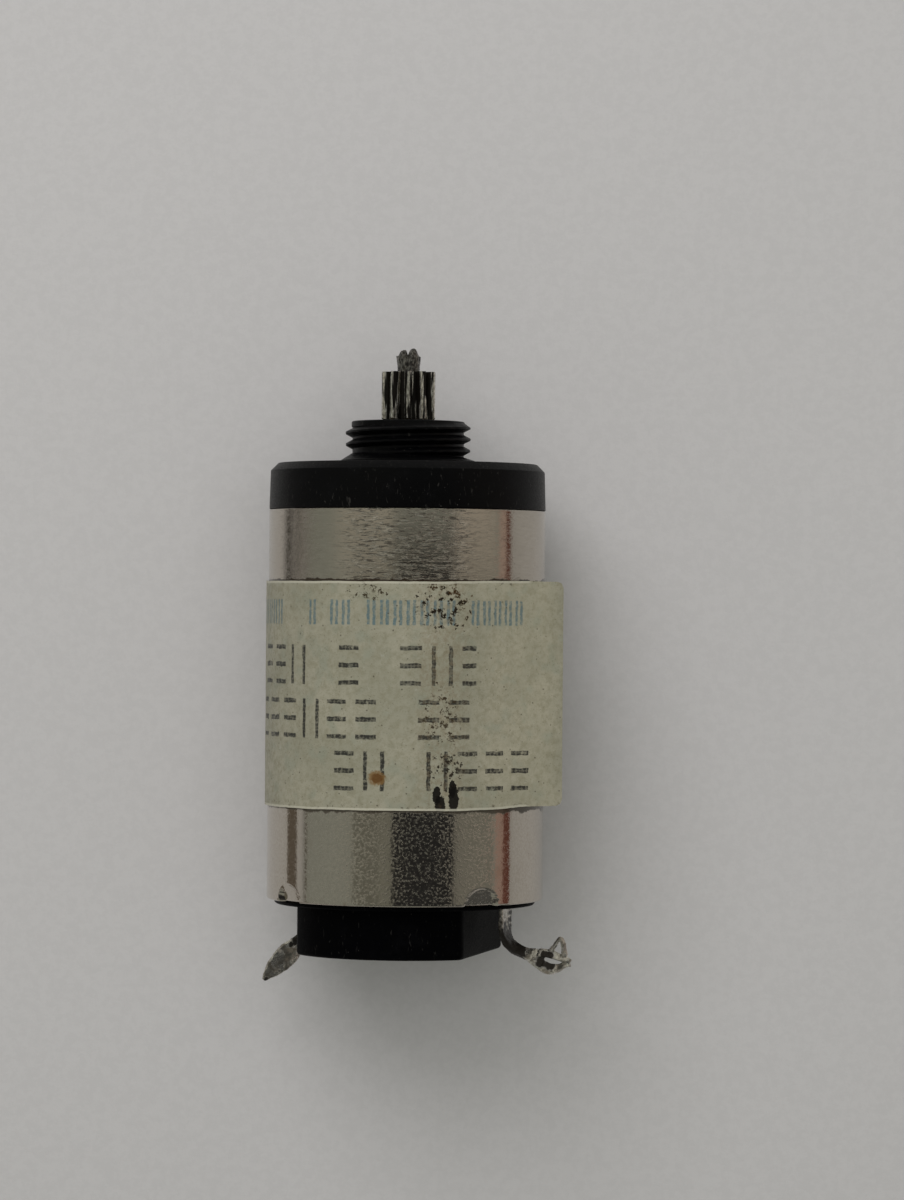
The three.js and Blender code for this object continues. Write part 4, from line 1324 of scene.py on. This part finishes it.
def make_reflections(floor_z):
    """What the plated tubes mirror: dark overhead cards, greyer walls, a reddish wall low at the right
    and lines on the floor. The ring sees the cards in front of MEETING_Y and the can those behind it."""
    # from and to in degrees, radius, front, back
    arcs = (
        ("overhead_dark", -10.4, 40.5, 170, MEETING_Y, -110, (0.026, 0.026, 0.0262)),
        ("overhead_dim", -10.4, 40.5, 170, 7, MEETING_Y, (0.04, 0.037, 0.035)),
        ("overhead_light", -20, -10.4, 175, MEETING_Y, -260, (0.21, 0.212, 0.177)),
        ("overhead_mid", -43, -20, 175, MEETING_Y, -260, (0.165, 0.167, 0.14)),
        ("front_overhead", -60, -10.4, 175, 260, MEETING_Y, (0.38, 0.365, 0.315)),
        ("line_high", -89.6, -87.4, 175, 260, -260, (0.14, 0.13, 0.11)),
        ("wall_right", 40.5, 78, 180, MEETING_Y, -260, (0.207, 0.205, 0.177)),
        ("front_right", 40.5, 78, 180, 260, MEETING_Y, (0.41, 0.375, 0.325)),
    )
    for row in arcs:
        arc_card(*row)
    # lowest and highest z, front, back
    wall_x = 60
    walls = (
        ("wall_pink", 4.4, 13.5, MEETING_Y, -36, (0.36, 0.255, 0.215)),
        ("wall_red", -3.5, 4.4, MEETING_Y, -36, (0.14, 0.06, 0.045)),
        ("front_pink", 3, 11, 260, MEETING_Y, (0.4, 0.31, 0.265)),
        ("front_red", -2.5, 3, 260, MEETING_Y, (0.14, 0.07, 0.055)),
        ("wall_shaded", floor_z, 70, -36, -260, (0.09, 0.092, 0.088)),
    )
    for name, low, high, front, back, colour in walls:
        points = [(wall_x, back, low), (wall_x, front, low), (wall_x, front, high), (wall_x, back, high)]
        card(name, points, [(0, 1, 2, 3)], colour)
    # left and right x, back, front
    height = floor_z + 0.05
    lines = (
        ("line_back", -54.5, -25.5, -200, MEETING_Y, (0.13, 0.11, 0.088)),
        ("line_front", -29.5, -20, MEETING_Y, 200, (0.02, 0.016, 0.01)),
        ("line_front_thin", -48, -37, MEETING_Y, 200, (0.03, 0.024, 0.016)),
        ("line_front_far", -86, -55, MEETING_Y, 200, (0.07, 0.055, 0.04)),
    )
    for name, left, right, back, front, colour in lines:
        points = [(left, back, height), (right, back, height), (right, front, height), (left, front, height)]
        card(name, points, [(0, 1, 2, 3)], colour)
    tilted_card("onlooker", 200, 22, 58, 90, (0.06, 0.06, 0.058))


def area_light(name, place, target, size, power, colour):
    """A round lamp aimed at a target. Mirrors don't show it."""
    light = bpy.data.lights.new(name, "AREA")
    light.shape = "DISK"
    light.size = size * MM
    light.energy = power
    light.color = colour
    holder = add(name, light)
    holder.location = Vector(place) * MM
    holder.rotation_euler = (Vector(target) - Vector(place)).to_track_quat("-Z", "Y").to_euler()
    holder.visible_glossy = False


def make_light():
    """An even room with a soft key from the front left and a fill overhead."""
    world = bpy.data.worlds.new("soft_room")
    bpy.context.scene.world = world
    world.use_nodes = True
    background = world.node_tree.nodes["Background"]
    background.inputs["Color"].default_value = (0.278, 0.29, 0.258, 1)
    background.inputs["Strength"].default_value = 1.0
    area_light("key", (-55, 110, 140), (0, -8, 0), 130, 0.13, (1.0, 0.99, 0.985))
    area_light("fill", (20, 60, 380), (0, -8, 0), 400, 0.36, (1.0, 0.985, 0.985))
    bpy.context.scene.view_settings.view_transform = "Standard"
    bpy.context.scene.view_settings.look = "None"


# ---- the scene ----


def dress_frame_nodes(finishes):
    """Materials for the CAD nodes whose shape is kept."""
    kept = {
        "gear_plate": "gear_brass", "brush_holder": "black_plastic",
        "brush_right": "brush_spring", "brush_left": "brush_spring",
    }
    for node, finish in kept.items():
        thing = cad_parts[node]
        thing.data.materials.clear()
        thing.data.materials.append(finishes[finish])


def make_finishes():
    """Every material, by the name of its slot or, where a slot has two, of its piece."""
    steel = ((0.9, 0.87, 0.8), (0.4, 0.375, 0.33))
    dull_steel = ((0.36, 0.345, 0.31), (0.04, 0.036, 0.032))
    return {
        "black_plastic": black_plastic("black_plastic", 0.42, 0.6, 0.12),
        "cap_plastic": black_plastic("cap_plastic", 0.45, 0.35, 0.02),
        "turned_nickel": turned_nickel(),
        "nickel_plate": nickel_plate(),
        "pinion_steel": worn_steel("pinion_steel", *steel, 0.1, 0.3, 1.1, 1.0),
        "gear_steel": worn_steel("gear_steel", *steel, 0.0, 0.3, 0.0, 0.0),
        "shaft_end": worn_steel("shaft_end", *dull_steel, 0.43, 0.18, 0.0, 0.0),
        "shaft_steel": plain_metal("shaft_steel", (0.46, 0.45, 0.42), (0.33, 0.32, 0.3), 0.2, (1, 12, 1)),
        "gear_brass": plain_metal("gear_brass", (0.62, 0.43, 0.16), (0.45, 0.29, 0.1), 0.28, (1, 4, 1)),
        "brush_spring": plain_metal("brush_spring", (0.66, 0.5, 0.24), (0.5, 0.36, 0.17), 0.25),
        "magnet": plain_metal("magnet", (0.3, 0.3, 0.31), (0.2, 0.2, 0.21), 0.35, (1, 6, 1), 4, 0.006),
        "commutator_bars": plain_metal("commutator", (0.62, 0.33, 0.14), (0.4, 0.2, 0.08), 0.25, (1, 9, 1)),
        "sintered_bronze": sintered_bronze(),
        "copper_winding": enamelled_copper(),
        "resin": cast_resin(),
        "tinned_tab": tinned_tab(),
        "label_paper": label_paper(),
    }


make_camera()
floor_height = make_floor()
make_reflections(floor_height)
make_light()
finishes = make_finishes()
front_cover(finishes["black_plastic"])
gearhead_tube(finishes["turned_nickel"])
motor_can(finishes["nickel_plate"])
label(finishes["label_paper"])
end_cap(finishes["cap_plastic"])
solder_tabs(finishes["tinned_tab"])
output_pinion(finishes["pinion_steel"])
output_shaft(finishes["shaft_end"])
inner_gears(finishes["gear_steel"], finishes["gear_brass"])
round_pieces(finishes)
shafts(finishes["shaft_steel"])
dress_frame_nodes(finishes)
